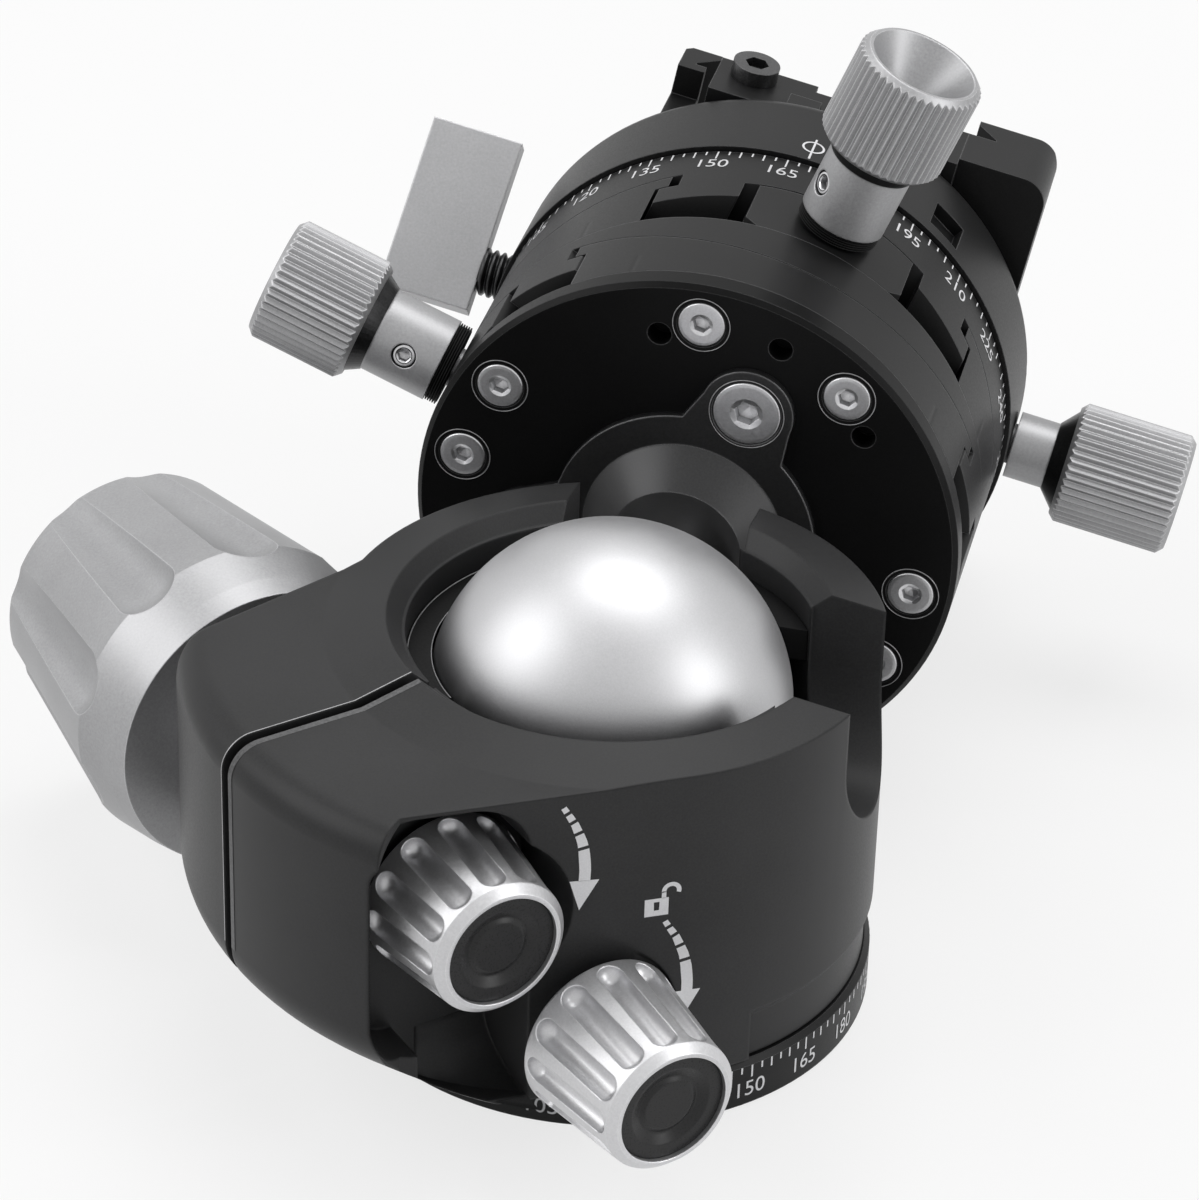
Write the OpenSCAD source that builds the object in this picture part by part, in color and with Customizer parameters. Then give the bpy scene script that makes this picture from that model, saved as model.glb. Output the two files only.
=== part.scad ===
/* [Ball] */
// Radius of the ball
ball_r = 20; // [19:0.5:21]
// Height of the ball's centre over the bottom of the base
ball_z = 35.1; // [35:0.1:36]
// Radius of the stem between the ball and the head
stem_r = 7.8; // [7:0.1:8.5]

/* [Base] */
// Radius of the panning base with its scale
base_r = 30; // [28:0.5:31]
// Height of the panning base
base_h = 5.7; // [5:0.1:6]
// Radius of the spindle that the housing turns on
spindle_r = 13; // [12:0.5:13.5]
// Height of the spindle over the base
spindle_h = 5.6; // [5:0.1:6]
// Radius of the retaining flange over the spindle
flange_keep_r = 15.4; // [14.5:0.1:15.5]
// Thickness of the retaining flange
flange_keep_h = 4.6; // [4:0.1:5]
// Radius of the tripod thread, three eighths of an inch across
tripod_r = 4.7625; // [3.175:0.0001:4.7625]
// Outside radius of the thread bush
bush_r = 7; // [6.5:0.25:7.5]
// Length of the thread bush
bush_h = 10.5; // [9:0.5:11]

/* [Housing] */
// Radius of the ball housing
housing_r = 30; // [29:0.5:31]
// Radius of the lower skirt of the housing
skirt_r = 29.2; // [28.5:0.1:30]
// Height at which the skirt starts to widen
skirt_z = 11.4; // [10:0.2:13]
// Height of the top face beside the opening
housing_top = 46; // [45:0.25:47]
// Drop of the top face from the opening to the rim
rim_drop = 1.4; // [0.5:0.1:2]
// Radius of the opening over the ball
opening_r = 22.6; // [22:0.1:23.5]
// Width of the bevel round the opening
opening_bevel = 1.8; // [1:0.1:2.5]
// Half the width of the two drop notches
notch_half = 10.4; // [9.5:0.1:11]
// Direction of the clamping lug, in degrees from +X
lug_azimuth = 225; // [220:1:230]
// Distance of the lug's end face from the pan axis
lug_reach = 47; // [45:0.1:50]
// Distance of the lug's back side from the pan axis
lug_back = 27.2; // [26:0.1:29]
// Distance of the lug's front side from the slit, at its end
lug_front = 20.4; // [19:0.1:21]
// Width of the clamping slit
slit_w = 1.4; // [1:0.1:2]

/* [Clamping knobs] */
// Distance of the main clamp bolt from the pan axis
main_reach = 27.6; // [27:0.1:29]
// Height of the main clamp bolt
main_z = 23.6; // [23:0.1:25]
// Largest radius of the main knob
main_r = 18.9; // [17:0.1:20]
// Radius of the main knob's outer end
main_end_r = 15.3; // [13:0.1:16]
// Length of the main knob
main_len = 34.6; // [30:0.1:38]
// Number of flutes round the main knob
main_flutes = 9; // [6:1:12]
// Distance of the friction knob from the pan axis
drag_reach = 30.3; // [30:0.1:31]
// Height of the friction knob
drag_z = 30.6; // [30:0.1:32]
// Length of the friction knob
drag_len = 13.5; // [12:0.1:15]
// Distance of the pan lock knob from the pan axis
pan_reach = 18.2; // [18:0.1:19]
// Height of the pan lock knob
pan_z = 15.3; // [15:0.1:16]
// Length of the pan lock knob
pan_len = 15.5; // [14:0.1:17]
// Radius of a small knob at its back
small_back_r = 9.2; // [8:0.1:9.5]
// Radius of a small knob at its front rim
small_front_r = 7.7; // [7:0.1:8.5]
// Number of flutes round a small knob
small_flutes = 12; // [8:1:14]

/* [Head plate] */
// Radius of the tilting head
head_r = 32; // [31:0.25:33]
// Distance from the ball's centre to the face of the head plate
plate_l = 36.9; // [36:0.1:38]
// Thickness of the head plate
plate_h = 3.1; // [2.5:0.1:4]
// Direction of the head's symmetry axis round the stem, in degrees
head_phi = 68; // [0:1:90]
// Radius of the lobed flange
lobe_flange_r = 15.5; // [14:0.1:17]
// Thickness of the lobed flange, let into the plate face
lobe_flange_h = 2.6; // [2.4:0.1:3]
// Distance of the flange screws from the stem axis
lobe_reach = 18.3; // [17.5:0.1:19]
// Radius of a flange lobe round its screw
lobe_r = 5.4; // [5:0.1:6]

/* [Tilt stages] */
// Distance from the head plate's face to the common tilt centre
tilt_rise = 105.1; // [98:0.1:113]
// Height of one tilt stage
stage_h = 13.6; // [13:0.1:14.5]
// Rise of the guide seam over the stage floor, at the middle
seam_rise = 7; // [6.5:0.1:7.5]
// Rise of the carriage foot over the stage floor
foot_rise = 1; // [0.8:0.1:1.5]
// Depth of the guide lip under the seam
lip_depth = 2.3; // [2:0.1:2.6]
// Half the width between the guide lips
lip_half = 19.5; // [19:0.1:20]
// Half the width between the guide walls below the lips
wall_half = 20.7; // [20.5:0.1:21.5]
// Half the width of a worm block
block_half = 10; // [9:0.1:10.5]
// Half the width of the cut-out that clears a worm block
cut_half = 11.7; // [11.2:0.1:12.5]
// Height of a worm axis over the stage floor
worm_rise = 6; // [5.8:0.1:6.2]
// Outside radius of a worm thread
worm_r = 3.5; // [3.2:0.1:3.6]
// Lead of a worm, its advance in one turn
worm_lead = 3.2; // [3:0.1:3.4]
// Radius of a worm's journals
journal_r = 2.4; // [2:0.1:2.6]
// Thickness of the upper stage's top under the turntable, over its floor
scale_h = 17.4; // [17:0.1:18]

/* [Fine adjustment knobs] */
// Distance from the stem axis to the back of a worm knob's collar
collar_start = 33.9; // [33.5:0.1:35]
// Length of a worm knob's collar
collar_len = 8; // [7:0.1:9]
// Radius of a worm knob's collar
collar_r = 5.1; // [4.8:0.1:5.5]
// Length of the cone between a collar and its grip
cone_len = 1.8; // [1.5:0.1:2.5]
// Length of a knurled grip
grip_len = 12.1; // [11:0.1:13]
// Radius of a knurled grip over its ridges
grip_r = 7.5; // [7:0.1:7.7]
// Number of knurled ridges
grip_ridges = 46; // [36:1:54]

/* [Turntable] */
// Radius of the turntable
turn_r = 32.6; // [32:0.1:33]
// Height of the turntable
turn_h = 15; // [14:0.1:16]
// Direction of the clamp's width round the stem, in degrees
clamp_phi = -11; // [-20:1:0]
// Radius of the turntable's spindle
hub_r = 12; // [11:0.1:12.5]
// Height of the turntable's spindle over the scale ring
hub_h = 10; // [9:0.1:10.5]
// Height of the turntable lock over the scale ring
lock_rise = 7; // [6.5:0.1:7.2]
// Radius of the turntable lock's stem
lock_stem_r = 4.1; // [3.5:0.1:4.5]

/* [Plate clamp] */
// Half the length of the clamp
clamp_half = 30; // [28:0.5:32]
// Distance from the clamp's middle to its left side
clamp_left = 15.2; // [15:0.1:15.4]
// Distance from the clamp's middle to its right side
clamp_right = 16.4; // [16:0.1:16.8]
// Height of the clamp's seat over the turntable
seat_h = 8.6; // [8:0.1:9]
// Height of the jaws over the seat
jaw_h = 4; // [3.6:0.1:4.5]
// Width between the two jaw lips, for a 38 mm dovetail plate
lip_gap = 32.8; // [32:0.1:34]
// Reach of the fixed jaw beyond its lip
fixed_jaw_w = 10.6; // [9:0.1:12]
// Reach of the moving jaw beyond its lip
moving_jaw_w = 4.6; // [4.2:0.1:5]
// Height of the clamp screw over the scale ring
screw_rise = 8.4; // [8:0.1:8.8]
// Radius of the clamp screw
screw_r = 3; // [2.5:0.1:3.2]
// Length of the paddle
paddle_len = 22; // [18:0.5:24]
// Width of the paddle along the clamp screw
paddle_w = 11.5; // [9:0.1:13]
// Thickness of the paddle
paddle_t = 3.8; // [3:0.1:5]
// Lean of the paddle from the clamp's length towards the stem, in degrees
paddle_lean = 40; // [20:1:60]

/* [Hidden] */
$fn = 96;
// Overrun of every cut past the face that it opens
over = 0.5;
// Gap between curved faces that slide over each other
slide_gap = 0.3;
// Gap between flat faces that move past each other
face_gap = 0.3;
// Radial clearance of a shaft in its bearing
run_fit = 0.05;
// Radial clearance of a screw in its hole
screw_fit = 0.04;
// Full turn in degrees
turn = 360;

// Base: screws, scale groove
base_edge = 0.6;
keep_screw_r = 1.25;
keep_screw_head_r = 2.3;
keep_screw_reach = 10.9;
keep_screws = 3;
keep_z = base_h + spindle_h;
bush_flange_r = 8.2;
bush_flange_h = 1.2;
keep_bore_r = 7.8;

// Housing: inside
housing_z = base_h + face_gap;
lip_z = keep_z - face_gap;
cavity_r = flange_keep_r + over;
cup_lift = 2.6;
ledge_z = keep_z + flange_keep_h + cup_lift;
cup_r = 19;
cup_in_r = 12.6;
cup_h = 8;
cup_top = ledge_z + cup_h;
cup_flange_h = 2.2;
cup_flange_r = 22;
bore_r = 22.3;
collet_in_r = 19.2;
collet_out_r = bore_r - screw_fit;
collet_rise = 2;
collet_low = ball_z + collet_rise;
collet_top = 41;
collet_slit = 2.4;
skirt_cone = 1.0;
crown_reach = 1.2;
lug_corner_back = 6.2;
lug_top_r = 3.6;
lug_sweep_z = 19.2;
back_lean = 9.8;
corner_past = 0.15;
foot_sweep_r = 6.8;
foot_low_r = 36;

pocket_floor = 15;
pocket_reach = 41.8;
pocket_top = 44.2;
pocket_r = 10.3;
pocket_corner = 6;
pocket_foot_z = 20;
pocket_lip = 0.7;

// Main clamp bolt and knob
bolt_r = 4;
main_sink = 1.2;
main_back = housing_r - main_sink;
main_collar_r = 17.2;
main_ridge_at = 8;
main_collar_at = 2.6;
main_end_fillet = 1.6;
main_cap_r = 11.6;
main_cap_h = 1.2;
flute_r = 5.2;
flute_bite = 2.3;
flute_start = 10.4;
thrust_r = 10;

// Small knobs
small_edge = 0.9;
small_flute_r = 1.45;
small_flute_start = 2.8;
small_cap_r = 6.3;
small_cap_depth = 1.2;
small_cap_h = 1;
small_cap_dish = 0.6;
small_cap_centre_r = 2.9;
small_screw_r = 2.5;
small_stem_r = 3.9;
pan_stem_gap = 0.4;
plunger_r = 2.5;
small_socket_depth = 8;

// Stem and lobed flange
flange_sink = 1.8;
flange_seat = plate_l + flange_sink;
flange_face = flange_seat - lobe_flange_h;
stem_inset = 1.6;
stem_start = ball_r - stem_inset;
lobe_screw_r = 2;
lobe_head_r = 4;
lobe_head_h = 2.2;
lobe_screw_len = 3.8;

// Head plate
plate_edge = 0.6;
plate_screw_r = 1.5;
plate_head_r = 2.8;
plate_head_h = 1.6;
plate_screw_reach = 27.15;
plate_screw_len = 7;
guide_screw_phi = 19.75;
block_screw_phi = 76.7;
block_screw_phi_2 = 99.4;
tap_r = 1.4;
tap_reach = 25.6;
tap_phi = 30.3;
tap_mid_reach = 27.4;
socket_r = 1.0;
socket_deep = 0.8;

// Tilt stages
floor_low = plate_l + plate_h;
floor_high = floor_low + stage_h;
tilt_centre = plate_l + tilt_rise;
scale_top = floor_high + scale_h;
drum_w = 2 * head_r + 4 * over;
seam_gap = 0.2;
foot_gap = 0.4;
block_top_rise = 10.3;
block_edge = 1.6;
chamber_r = worm_r + over;
chamber_half = 9;
worm_depth = 0.8;
worm_steps = 20;
rack_half_w = 3.4;
rack_half_l = 17;
rack_back = 1.5;
tooth_h = 0.7;
tooth_tip = 0.3;
tooth_root = 0.55;
rack_gap = 0.12;
block_pin_r = 1.5;
guide_pin_r = 1.5;

// Worm knobs
collar_cone_r = 6.2;
washer_r = 4.6;
grip_depth = 0.42;
grip_chamfer = 0.8;
dish_r = 6.3;
dish_depth = 6.2;
dish_bottom_r = 2.2;
set_screw_r = 1.45;
set_screw_at = 4.1;
set_screw_len = 2.4;
set_socket_r = 0.75;
lower_set_turn = 14;
upper_set_turn = -54;
shaft_tail = 13;

// Turntable
turn_z = scale_top + face_gap;
turn_top = turn_z + turn_h;
turn_fillet = 2.6;
keeper_r = 14;
keeper_h = 2;
keeper_gap = 0.15;
keeper_screw_r = 1;
keeper_screw_reach = 9.4;
keeper_screws = 3;
counter_r = 14.4;
lug_slot_in = 1.2;
lug_slot_out = 3.2;
lug_half = 6;
lug_low = 3.4;
lug_t = 3.6;
slot_half = 6.4;
relief_w = 4.6;
relief_h = 5.2;
relief_deep = 1.6;
lock_len = 5.1;
lock_cone_len = 1.9;
lock_grip_len = 14.6;
lock_screw_r = 2.5;
pad_len = 3;
lock_screw_in = hub_r + face_gap + pad_len;

// Plate clamp
clamp_gap = 0.1;
clamp_z = turn_top + clamp_gap;
seat_z = clamp_z + seat_h;
jaw_top = seat_z + jaw_h;
jaw_drop = 1.4;
jaw_low = seat_z - jaw_drop;
groove_in = 2.6;
lip_t = 1.0;
lip_left = -15.6;
lip_right = lip_left + lip_gap;
fixed_corner = 3.2;
jaw_edge = 0.8;
stop_screw_r = 1.5;
stop_head_r = 2.9;
stop_head_h = 1.9;
stop_u = -10.7;
stop_rise = 6.1;
key_u = -5.5;
key_w = 4;
key_h = 2.7;
key_t = 1;
guide_pin_v = 20;
jaw_pin_r = 1.5;
jaw_pin_rise = 5;
jaw_pin_in = 8;
paddle_start = 36;
paddle_tail = 5.6;
clamp_bolt_r = 2;
clamp_bolt_v = 21;

// Lug: its end, its swept foot and the slit
slit_root = 17;
seat_w = 22.4;
pocket_from = 24.4;
front_from = 37.7;
back_turn = back_lean - turn / 4;
back_mid = back_turn + acos((lug_back - lug_corner_back) / (lug_reach - lug_corner_back));
back_centre = [
    (lug_reach - lug_corner_back + corner_past) * cos(back_mid),
    (lug_reach - lug_corner_back + corner_past) * sin(back_mid)
];
front_end = atan(lug_front / front_from);
front_turn = front_end + acos(housing_r / norm([front_from, lug_front]));
foot_mid = lug_reach - foot_sweep_r;
foot_run = norm([foot_mid - foot_low_r, lug_sweep_z - housing_z]);
foot_slope = atan((lug_sweep_z - housing_z) / (foot_mid - foot_low_r)) - asin(foot_sweep_r / foot_run);
foot_touch = [foot_mid + foot_sweep_r * sin(foot_slope), lug_sweep_z - foot_sweep_r * cos(foot_slope)];

// Main bolt: its thread in the front half and its grip in the knob
bolt_thread = 12;
bolt_grip = 20;
bolt_socket_r = 2.5;
bolt_socket_deep = 3;
flute_lean = 5.2;

// Small knobs: where their backs stand
drag_back = pocket_floor + face_gap;
pan_wall = sqrt(housing_r * housing_r - pan_reach * pan_reach);
pan_stem_len = 3.8;
pan_back = pan_wall + pan_stem_len;
stem_sink = 3;
plunger_from = 1.2;
plunger_to = 13;

// Stem: its spigot in the ball and its flare to the flange
spigot_r = 4;
spigot_len = 10;
stem_flare = 4;
lobes = 3;
lobe_blend = 24;
lobe_socket_r = 1.5;
lobe_socket_deep = 1.2;

// Stages: directions, worm pitch and inner sizes
lower_phi = head_phi + turn / 4;
radian = turn / (2 * PI);
worm_starts = 2;
worm_pitch = worm_lead / worm_starts;
worm_turns = 3;
worm_len = worm_turns * worm_lead;
worm_slices = 48;
flank_share = 0.3;
crest_share = 0.1;
helix = atan(worm_lead / (2 * PI * worm_r));
tooth_half_w = 1.8;
neck_gap = 1;
roof_t = 0.7;
guide_bolt_x = 18;
guide_bolt_y = 24.5;
guide_pin_len = 4;
block_bolt_x = 22;
block_bolt_y = 6.5;
block_pin_len = 4;
grip_bore = 3;
grip_start = collar_start + collar_len + cone_len;
shaft_end = grip_start + grip_bore;

// Turntable: its keeper, lock and reliefs
hub_top = scale_top + hub_h;
keeper_thread = 4;
keeper_head = 1.2;
screw_level = scale_top + screw_rise;
lock_level = scale_top + lock_rise;
jaw_body_t = moving_jaw_w;
relief_turn = 57;
relief_rise = 1.8;
clamp_bolt_sink = 6;
clamp_bolt_head = 2.6;
pad_round = 0.5;

// Clamp: seat, stop screws, level and jaws
seat_slot_u = 0.6;
seat_slot_w = 7;
seat_slot_h = 1.6;
stop_len = 6;
clamp_bolt_socket_r = 1.7;
fixed_lift = 1.5;
fixed_low = clamp_z + fixed_lift;
jaw_half = 28;
jaw_in = 1.2;
ear_half = 4;
ear_rise = 0.9;
screw_neck_r = 1.8;
paddle_rod_r = 1.3;
paddle_turn = paddle_lean - turn / 4;

// Shared shapes

// A point at a radius and an angle
function polar(r, a) = [r * cos(a), r * sin(a)];

// A ring or tube that stands on its lower face
module tube(outer, inner, h) {
    difference() {
        cylinder(r = outer, h = h);
        translate([0, 0, -over]) cylinder(r = inner, h = h + 2 * over);
    }
}

// A disc with a bevel on its top edge
module bevel_disc(r, h, edge) {
    cylinder(r = r, h = h - edge);
    translate([0, 0, h - edge]) cylinder(r1 = r, r2 = r - edge, h = edge);
}

// A flat-headed screw hanging down from its head's face, with a hex socket
module flat_screw(head, shank, head_h, len, socket, deep) {
    difference() {
        union() {
            translate([0, 0, -head_h]) cylinder(r1 = shank, r2 = head, h = head_h);
            translate([0, 0, -len]) cylinder(r = shank, h = len - head_h);
        }
        translate([0, 0, -deep]) cylinder(r = socket, h = deep + over, $fn = 6);
    }
}

// The hole for a flat-headed screw, open above its head's face
module flat_screw_hole(head, shank, head_h, len) {
    translate([0, 0, -head_h]) cylinder(r1 = shank + screw_fit, r2 = head + screw_fit, h = head_h);
    cylinder(r = head + screw_fit, h = over);
    translate([0, 0, -len]) cylinder(r = shank + screw_fit, h = len - head_h);
}

// An outline with straight flanks, a stretch of the extrusion along Z
module star(r_out, r_in, teeth) {
    step = turn / teeth;
    polygon([for (i = [0:teeth - 1], j = [0:1]) polar(j == 0 ? r_out : r_in, (i + j / 2) * step)]);
}

// Places children in the frame of the head: Z runs along the stem from the ball's centre
module head_frame() translate([0, 0, ball_z]) rotate([-90, 0, 0]) children();

// Turns children of the head frame to a direction round the stem
module at_phi(phi) rotate([0, 0, -phi]) children();

// Places children in the frame of the clamping lug: X runs out along the lug
module lug_frame() rotate([0, 0, lug_azimuth]) children();

// Lays an axis that runs along Z along the lug frame's Y, towards the front or the back
module along_lug(reach, z, way) {
    lug_frame() translate([reach, 0, z]) rotate([-90 * way, 0, 0]) children();
}

// Base

module base_plate() color([0.13, 0.13, 0.14]) {
    difference() {
        union() {
            bevel_disc(base_r, base_h, base_edge);
            cylinder(r = spindle_r, h = keep_z);
        }
        translate([0, 0, -over]) cylinder(r = bush_r + screw_fit, h = keep_z + 2 * over);
        translate([0, 0, -over]) cylinder(r = bush_flange_r + screw_fit, h = bush_flange_h + over);
        for (i = [0:keep_screws - 1]) rotate([0, 0, i * turn / keep_screws])
            translate([keep_screw_reach, 0, base_h - base_edge])
                cylinder(r = keep_screw_r + screw_fit, h = keep_z);
    }
}

module thread_bush() color([0.72, 0.71, 0.66]) {
    difference() {
        union() {
            cylinder(r = bush_r, h = bush_h);
            cylinder(r = bush_flange_r, h = bush_flange_h);
        }
        translate([0, 0, -over]) cylinder(r = tripod_r, h = bush_h + 2 * over);
    }
}

module retaining_flange() color([0.6, 0.6, 0.62]) {
    translate([0, 0, keep_z]) difference() {
        cylinder(r = flange_keep_r, h = flange_keep_h);
        translate([0, 0, -over]) cylinder(r = keep_bore_r, h = flange_keep_h + 2 * over);
        for (i = [0:keep_screws - 1]) rotate([0, 0, i * turn / keep_screws])
            translate([keep_screw_reach, 0, flange_keep_h])
                flat_screw_hole(keep_screw_head_r, keep_screw_r, plate_head_h, flange_keep_h + over);
    }
}

module retaining_screws() color([0.55, 0.55, 0.57]) {
    for (i = [0:keep_screws - 1]) rotate([0, 0, i * turn / keep_screws])
        translate([keep_screw_reach, 0, keep_z + flange_keep_h])
            flat_screw(keep_screw_head_r, keep_screw_r, plate_head_h, flange_keep_h + spindle_h - screw_fit,
                socket_r, socket_deep);
}

// Housing

// The lug's outline: a side on the back, a rounded back corner and a side on the front
module lug_plan() {
    wide = 2 * lug_reach;
    circle(r = housing_r);
    translate(back_centre) circle(r = lug_corner_back);
    polygon([
        [0, 0], polar(lug_back, back_turn), back_centre + polar(lug_corner_back, back_turn), back_centre,
        polar(wide, back_mid), polar(wide, front_end), [front_from, lug_front], polar(housing_r, front_turn)
    ]);
}

// The lug's turned profile: a plumb end, a rounded top edge and a swept foot
module lug_profile() {
    top = housing_top - rim_drop;
    translate([0, lug_sweep_z]) square([lug_reach, top - lug_top_r - lug_sweep_z]);
    translate([0, lug_sweep_z]) square([lug_reach - lug_top_r, top - lug_sweep_z]);
    translate([lug_reach - lug_top_r, top - lug_top_r]) circle(r = lug_top_r);
    translate([foot_mid, lug_sweep_z]) circle(r = foot_sweep_r);
    polygon([[0, housing_z], [foot_low_r, housing_z], foot_touch, [foot_mid, lug_sweep_z], [0,
        lug_sweep_z]]);
}

module housing_outer() {
    top = housing_top - rim_drop;
    lug_frame() intersection() {
        translate([0, 0, housing_z]) linear_extrude(height = top - housing_z) lug_plan();
        rotate_extrude() lug_profile();
    }
    // The crowned top face, highest beside the opening
    intersection() {
        translate([0, 0, top])
            cylinder(r1 = housing_r + crown_reach, r2 = opening_r + opening_bevel, h = rim_drop);
        lug_frame() translate([0, 0, top]) linear_extrude(height = rim_drop) lug_plan();
    }
}

// The cut that narrows the cylinder to its skirt
module skirt_cut() {
    wide = 2 * lug_reach;
    difference() {
        translate([0, 0, housing_z - over]) cylinder(r = wide, h = skirt_z - housing_z + over + skirt_cone);
        translate([0, 0, housing_z - 2 * over]) cylinder(r = skirt_r, h = skirt_z - housing_z + 4 * over);
        translate([0, 0, skirt_z]) cylinder(r1 = skirt_r, r2 = skirt_r + skirt_cone, h = skirt_cone + over);
        lug_frame() translate([0, -lug_reach, 0]) cube([wide, wide, wide]);
    }
}

// One drop notch, open to the top and to the outside
module notch(azimuth) {
    low = ball_z - stem_r - slide_gap + notch_half;
    rotate([0, 0, azimuth]) {
        translate([ball_r, 0, low]) rotate([0, 90, 0]) cylinder(r = notch_half, h = housing_r);
        translate([ball_r, -notch_half, low]) cube([housing_r, 2 * notch_half, housing_top]);
    }
}

module housing() color([0.2, 0.2, 0.21]) {
    difference() {
        housing_outer();
        skirt_cut();
        // Bores for the spindle, the retaining flange, the cup and the ball
        translate([0, 0, housing_z - over]) cylinder(r = spindle_r + run_fit, h = ledge_z);
        translate([0, 0, lip_z]) cylinder(r = cavity_r, h = ledge_z - lip_z + over);
        translate([0, 0, ledge_z]) cylinder(r = cup_r + screw_fit, h = housing_top);
        translate([0, 0, cup_top - cup_flange_h]) cylinder(r = bore_r, h = housing_top);
        translate([0, 0, housing_top - opening_bevel])
            cylinder(r1 = opening_r, r2 = opening_r + opening_bevel + over, h = opening_bevel + over);
        notch(90);
        notch(0);
        // The clamping slit
        lug_frame() translate([slit_root, -slit_w / 2, housing_z - over])
            cube([lug_reach, slit_w, housing_top]);
        // Main clamp bolt: its hole across the slit and the flat seat of its sleeve
        along_lug(main_reach, main_z, -1) {
            translate([0, 0, -bolt_thread - face_gap])
                cylinder(r = bolt_r + run_fit, h = housing_r + bolt_thread);
            translate([0, 0, seat_w]) cylinder(r = thrust_r + face_gap, h = housing_r);
        }
        // Friction knob: its pocket and its screw hole
        along_lug(drag_reach, drag_z, 1) {
            translate([0, 0, pocket_floor]) cylinder(r = pocket_r, h = housing_r);
            cylinder(r = small_screw_r + run_fit, h = housing_r);
        }
        pocket_cut();
        // Pan lock knob: its stem and plunger hole
        along_lug(pan_reach, pan_z, 1) {
            cylinder(r = plunger_r + run_fit, h = housing_r);
            translate([0, 0, pan_wall - stem_sink])
                cylinder(r = small_stem_r + pan_stem_gap, h = housing_r);
            translate([0, 0, pan_back - face_gap]) cylinder(r = small_back_r + face_gap, h = housing_r);
        }
    }
}

// The flat recess in the lug's front side under the friction knob, with a thin lip at its foot
module pocket_cut() {
    low = housing_z + pocket_lip;
    wide = pocket_reach - pocket_from;
    lug_frame() translate([0, pocket_floor + lug_reach, 0]) rotate([90, 0, 0])
        linear_extrude(height = lug_reach) {
        translate([pocket_from, low]) square([wide - pocket_corner, pocket_top - pocket_corner - low]);
        translate([pocket_from, pocket_foot_z]) square([wide, pocket_top - pocket_corner - pocket_foot_z]);
        translate([pocket_from + pocket_corner, low])
            square([wide - 2 * pocket_corner, pocket_top - low]);
        for (s = [pocket_from + pocket_corner, pocket_reach - pocket_corner])
            translate([s, pocket_top - pocket_corner]) circle(r = pocket_corner);
        translate([pocket_reach - pocket_corner, pocket_foot_z]) circle(r = pocket_corner);
    }
}

module lower_cup() color([0.35, 0.35, 0.36]) {
    difference() {
        union() {
            translate([0, 0, ledge_z]) cylinder(r = cup_r, h = cup_top - ledge_z);
            translate([0, 0, cup_top - cup_flange_h]) cylinder(r = cup_flange_r, h = cup_flange_h);
        }
        translate([0, 0, ball_z]) sphere(r = ball_r + slide_gap);
        translate([0, 0, ledge_z - over]) cylinder(r = cup_in_r, h = cup_top);
        cup_notches();
        lug_frame() translate([0, -slit_w / 2, ledge_z - over]) cube([lug_reach, slit_w, cup_top]);
    }
}

// Clears the two drop notches through what lines the housing
module cup_notches() {
    notch_wide(90);
    notch_wide(0);
}
module notch_wide(azimuth) {
    low = ball_z - stem_r - slide_gap + notch_half;
    rotate([0, 0, azimuth]) {
        translate([cup_in_r, 0, low]) rotate([0, 90, 0]) cylinder(r = notch_half, h = housing_r);
        translate([cup_in_r, -notch_half, low]) cube([housing_r, 2 * notch_half, housing_top]);
    }
}

module collet_ring() color([0.1, 0.1, 0.1]) {
    difference() {
        translate([0, 0, collet_low]) cylinder(r = collet_out_r, h = collet_top - collet_low);
        translate([0, 0, ball_z]) sphere(r = ball_r + slide_gap);
        translate([0, 0, collet_low - over]) cylinder(r = collet_in_r, h = collet_top);
        cup_notches();
        lug_frame() translate([0, -collet_slit / 2, collet_low - over])
            cube([lug_reach, collet_slit, collet_top]);
    }
}

// Main clamp

module clamp_bolt() color([0.6, 0.6, 0.62]) {
    bolt_end = main_back + bolt_grip;
    along_lug(main_reach, main_z, -1) difference() {
        translate([0, 0, -bolt_thread]) cylinder(r = bolt_r, h = bolt_thread + bolt_end);
        translate([0, 0, bolt_end - bolt_socket_deep])
            cylinder(r = bolt_socket_r, h = bolt_socket_deep + over, $fn = 6);
    }
}

module thrust_sleeve() color([0.75, 0.75, 0.77]) {
    along_lug(main_reach, main_z, -1) translate([0, 0, seat_w])
        tube(thrust_r, bolt_r + run_fit, main_back - seat_w - face_gap);
}

// The main knob: a collar, a ridge and a fluted taper to the outer end
module main_knob() color([0.75, 0.75, 0.77]) {
    along_lug(main_reach, main_z, -1) translate([0, 0, main_back]) difference() {
        rotate_extrude() main_profile();
        for (i = [0:main_flutes - 1]) rotate([0, 0, (i + 0.5) * turn / main_flutes]) main_flute();
        // Bore for the bolt and a seat for the cap
        translate([0, 0, -over]) cylinder(r = bolt_r + screw_fit, h = bolt_grip + over);
        translate([0, 0, main_len - main_cap_h]) cylinder(r = main_cap_r + screw_fit, h = main_len);
    }
}

module main_profile() {
    difference() {
        union() {
            polygon([
                [0, 0], [main_collar_r, 0], [main_collar_r + main_collar_at / 4, main_collar_at],
                [main_r, main_ridge_at], [main_end_r, main_len - main_end_fillet],
                [main_end_r - main_end_fillet, main_len], [0, main_len]
            ]);
            translate([main_end_r - main_end_fillet, main_len - main_end_fillet])
                circle(r = main_end_fillet);
        }
        translate([-main_r, 0]) square([main_r, main_len]);
    }
}

module main_flute() {
    translate([main_r - flute_bite + flute_r, 0, flute_start]) {
        sphere(r = flute_r);
        rotate([0, -flute_lean, 0]) cylinder(r = flute_r, h = main_len);
    }
}

module main_cap() color([0.7, 0.7, 0.72]) {
    along_lug(main_reach, main_z, -1) translate([0, 0, main_back + main_len - main_cap_h])
        cylinder(r = main_cap_r, h = main_cap_h - base_edge / 2);
}

// Small knobs

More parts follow.
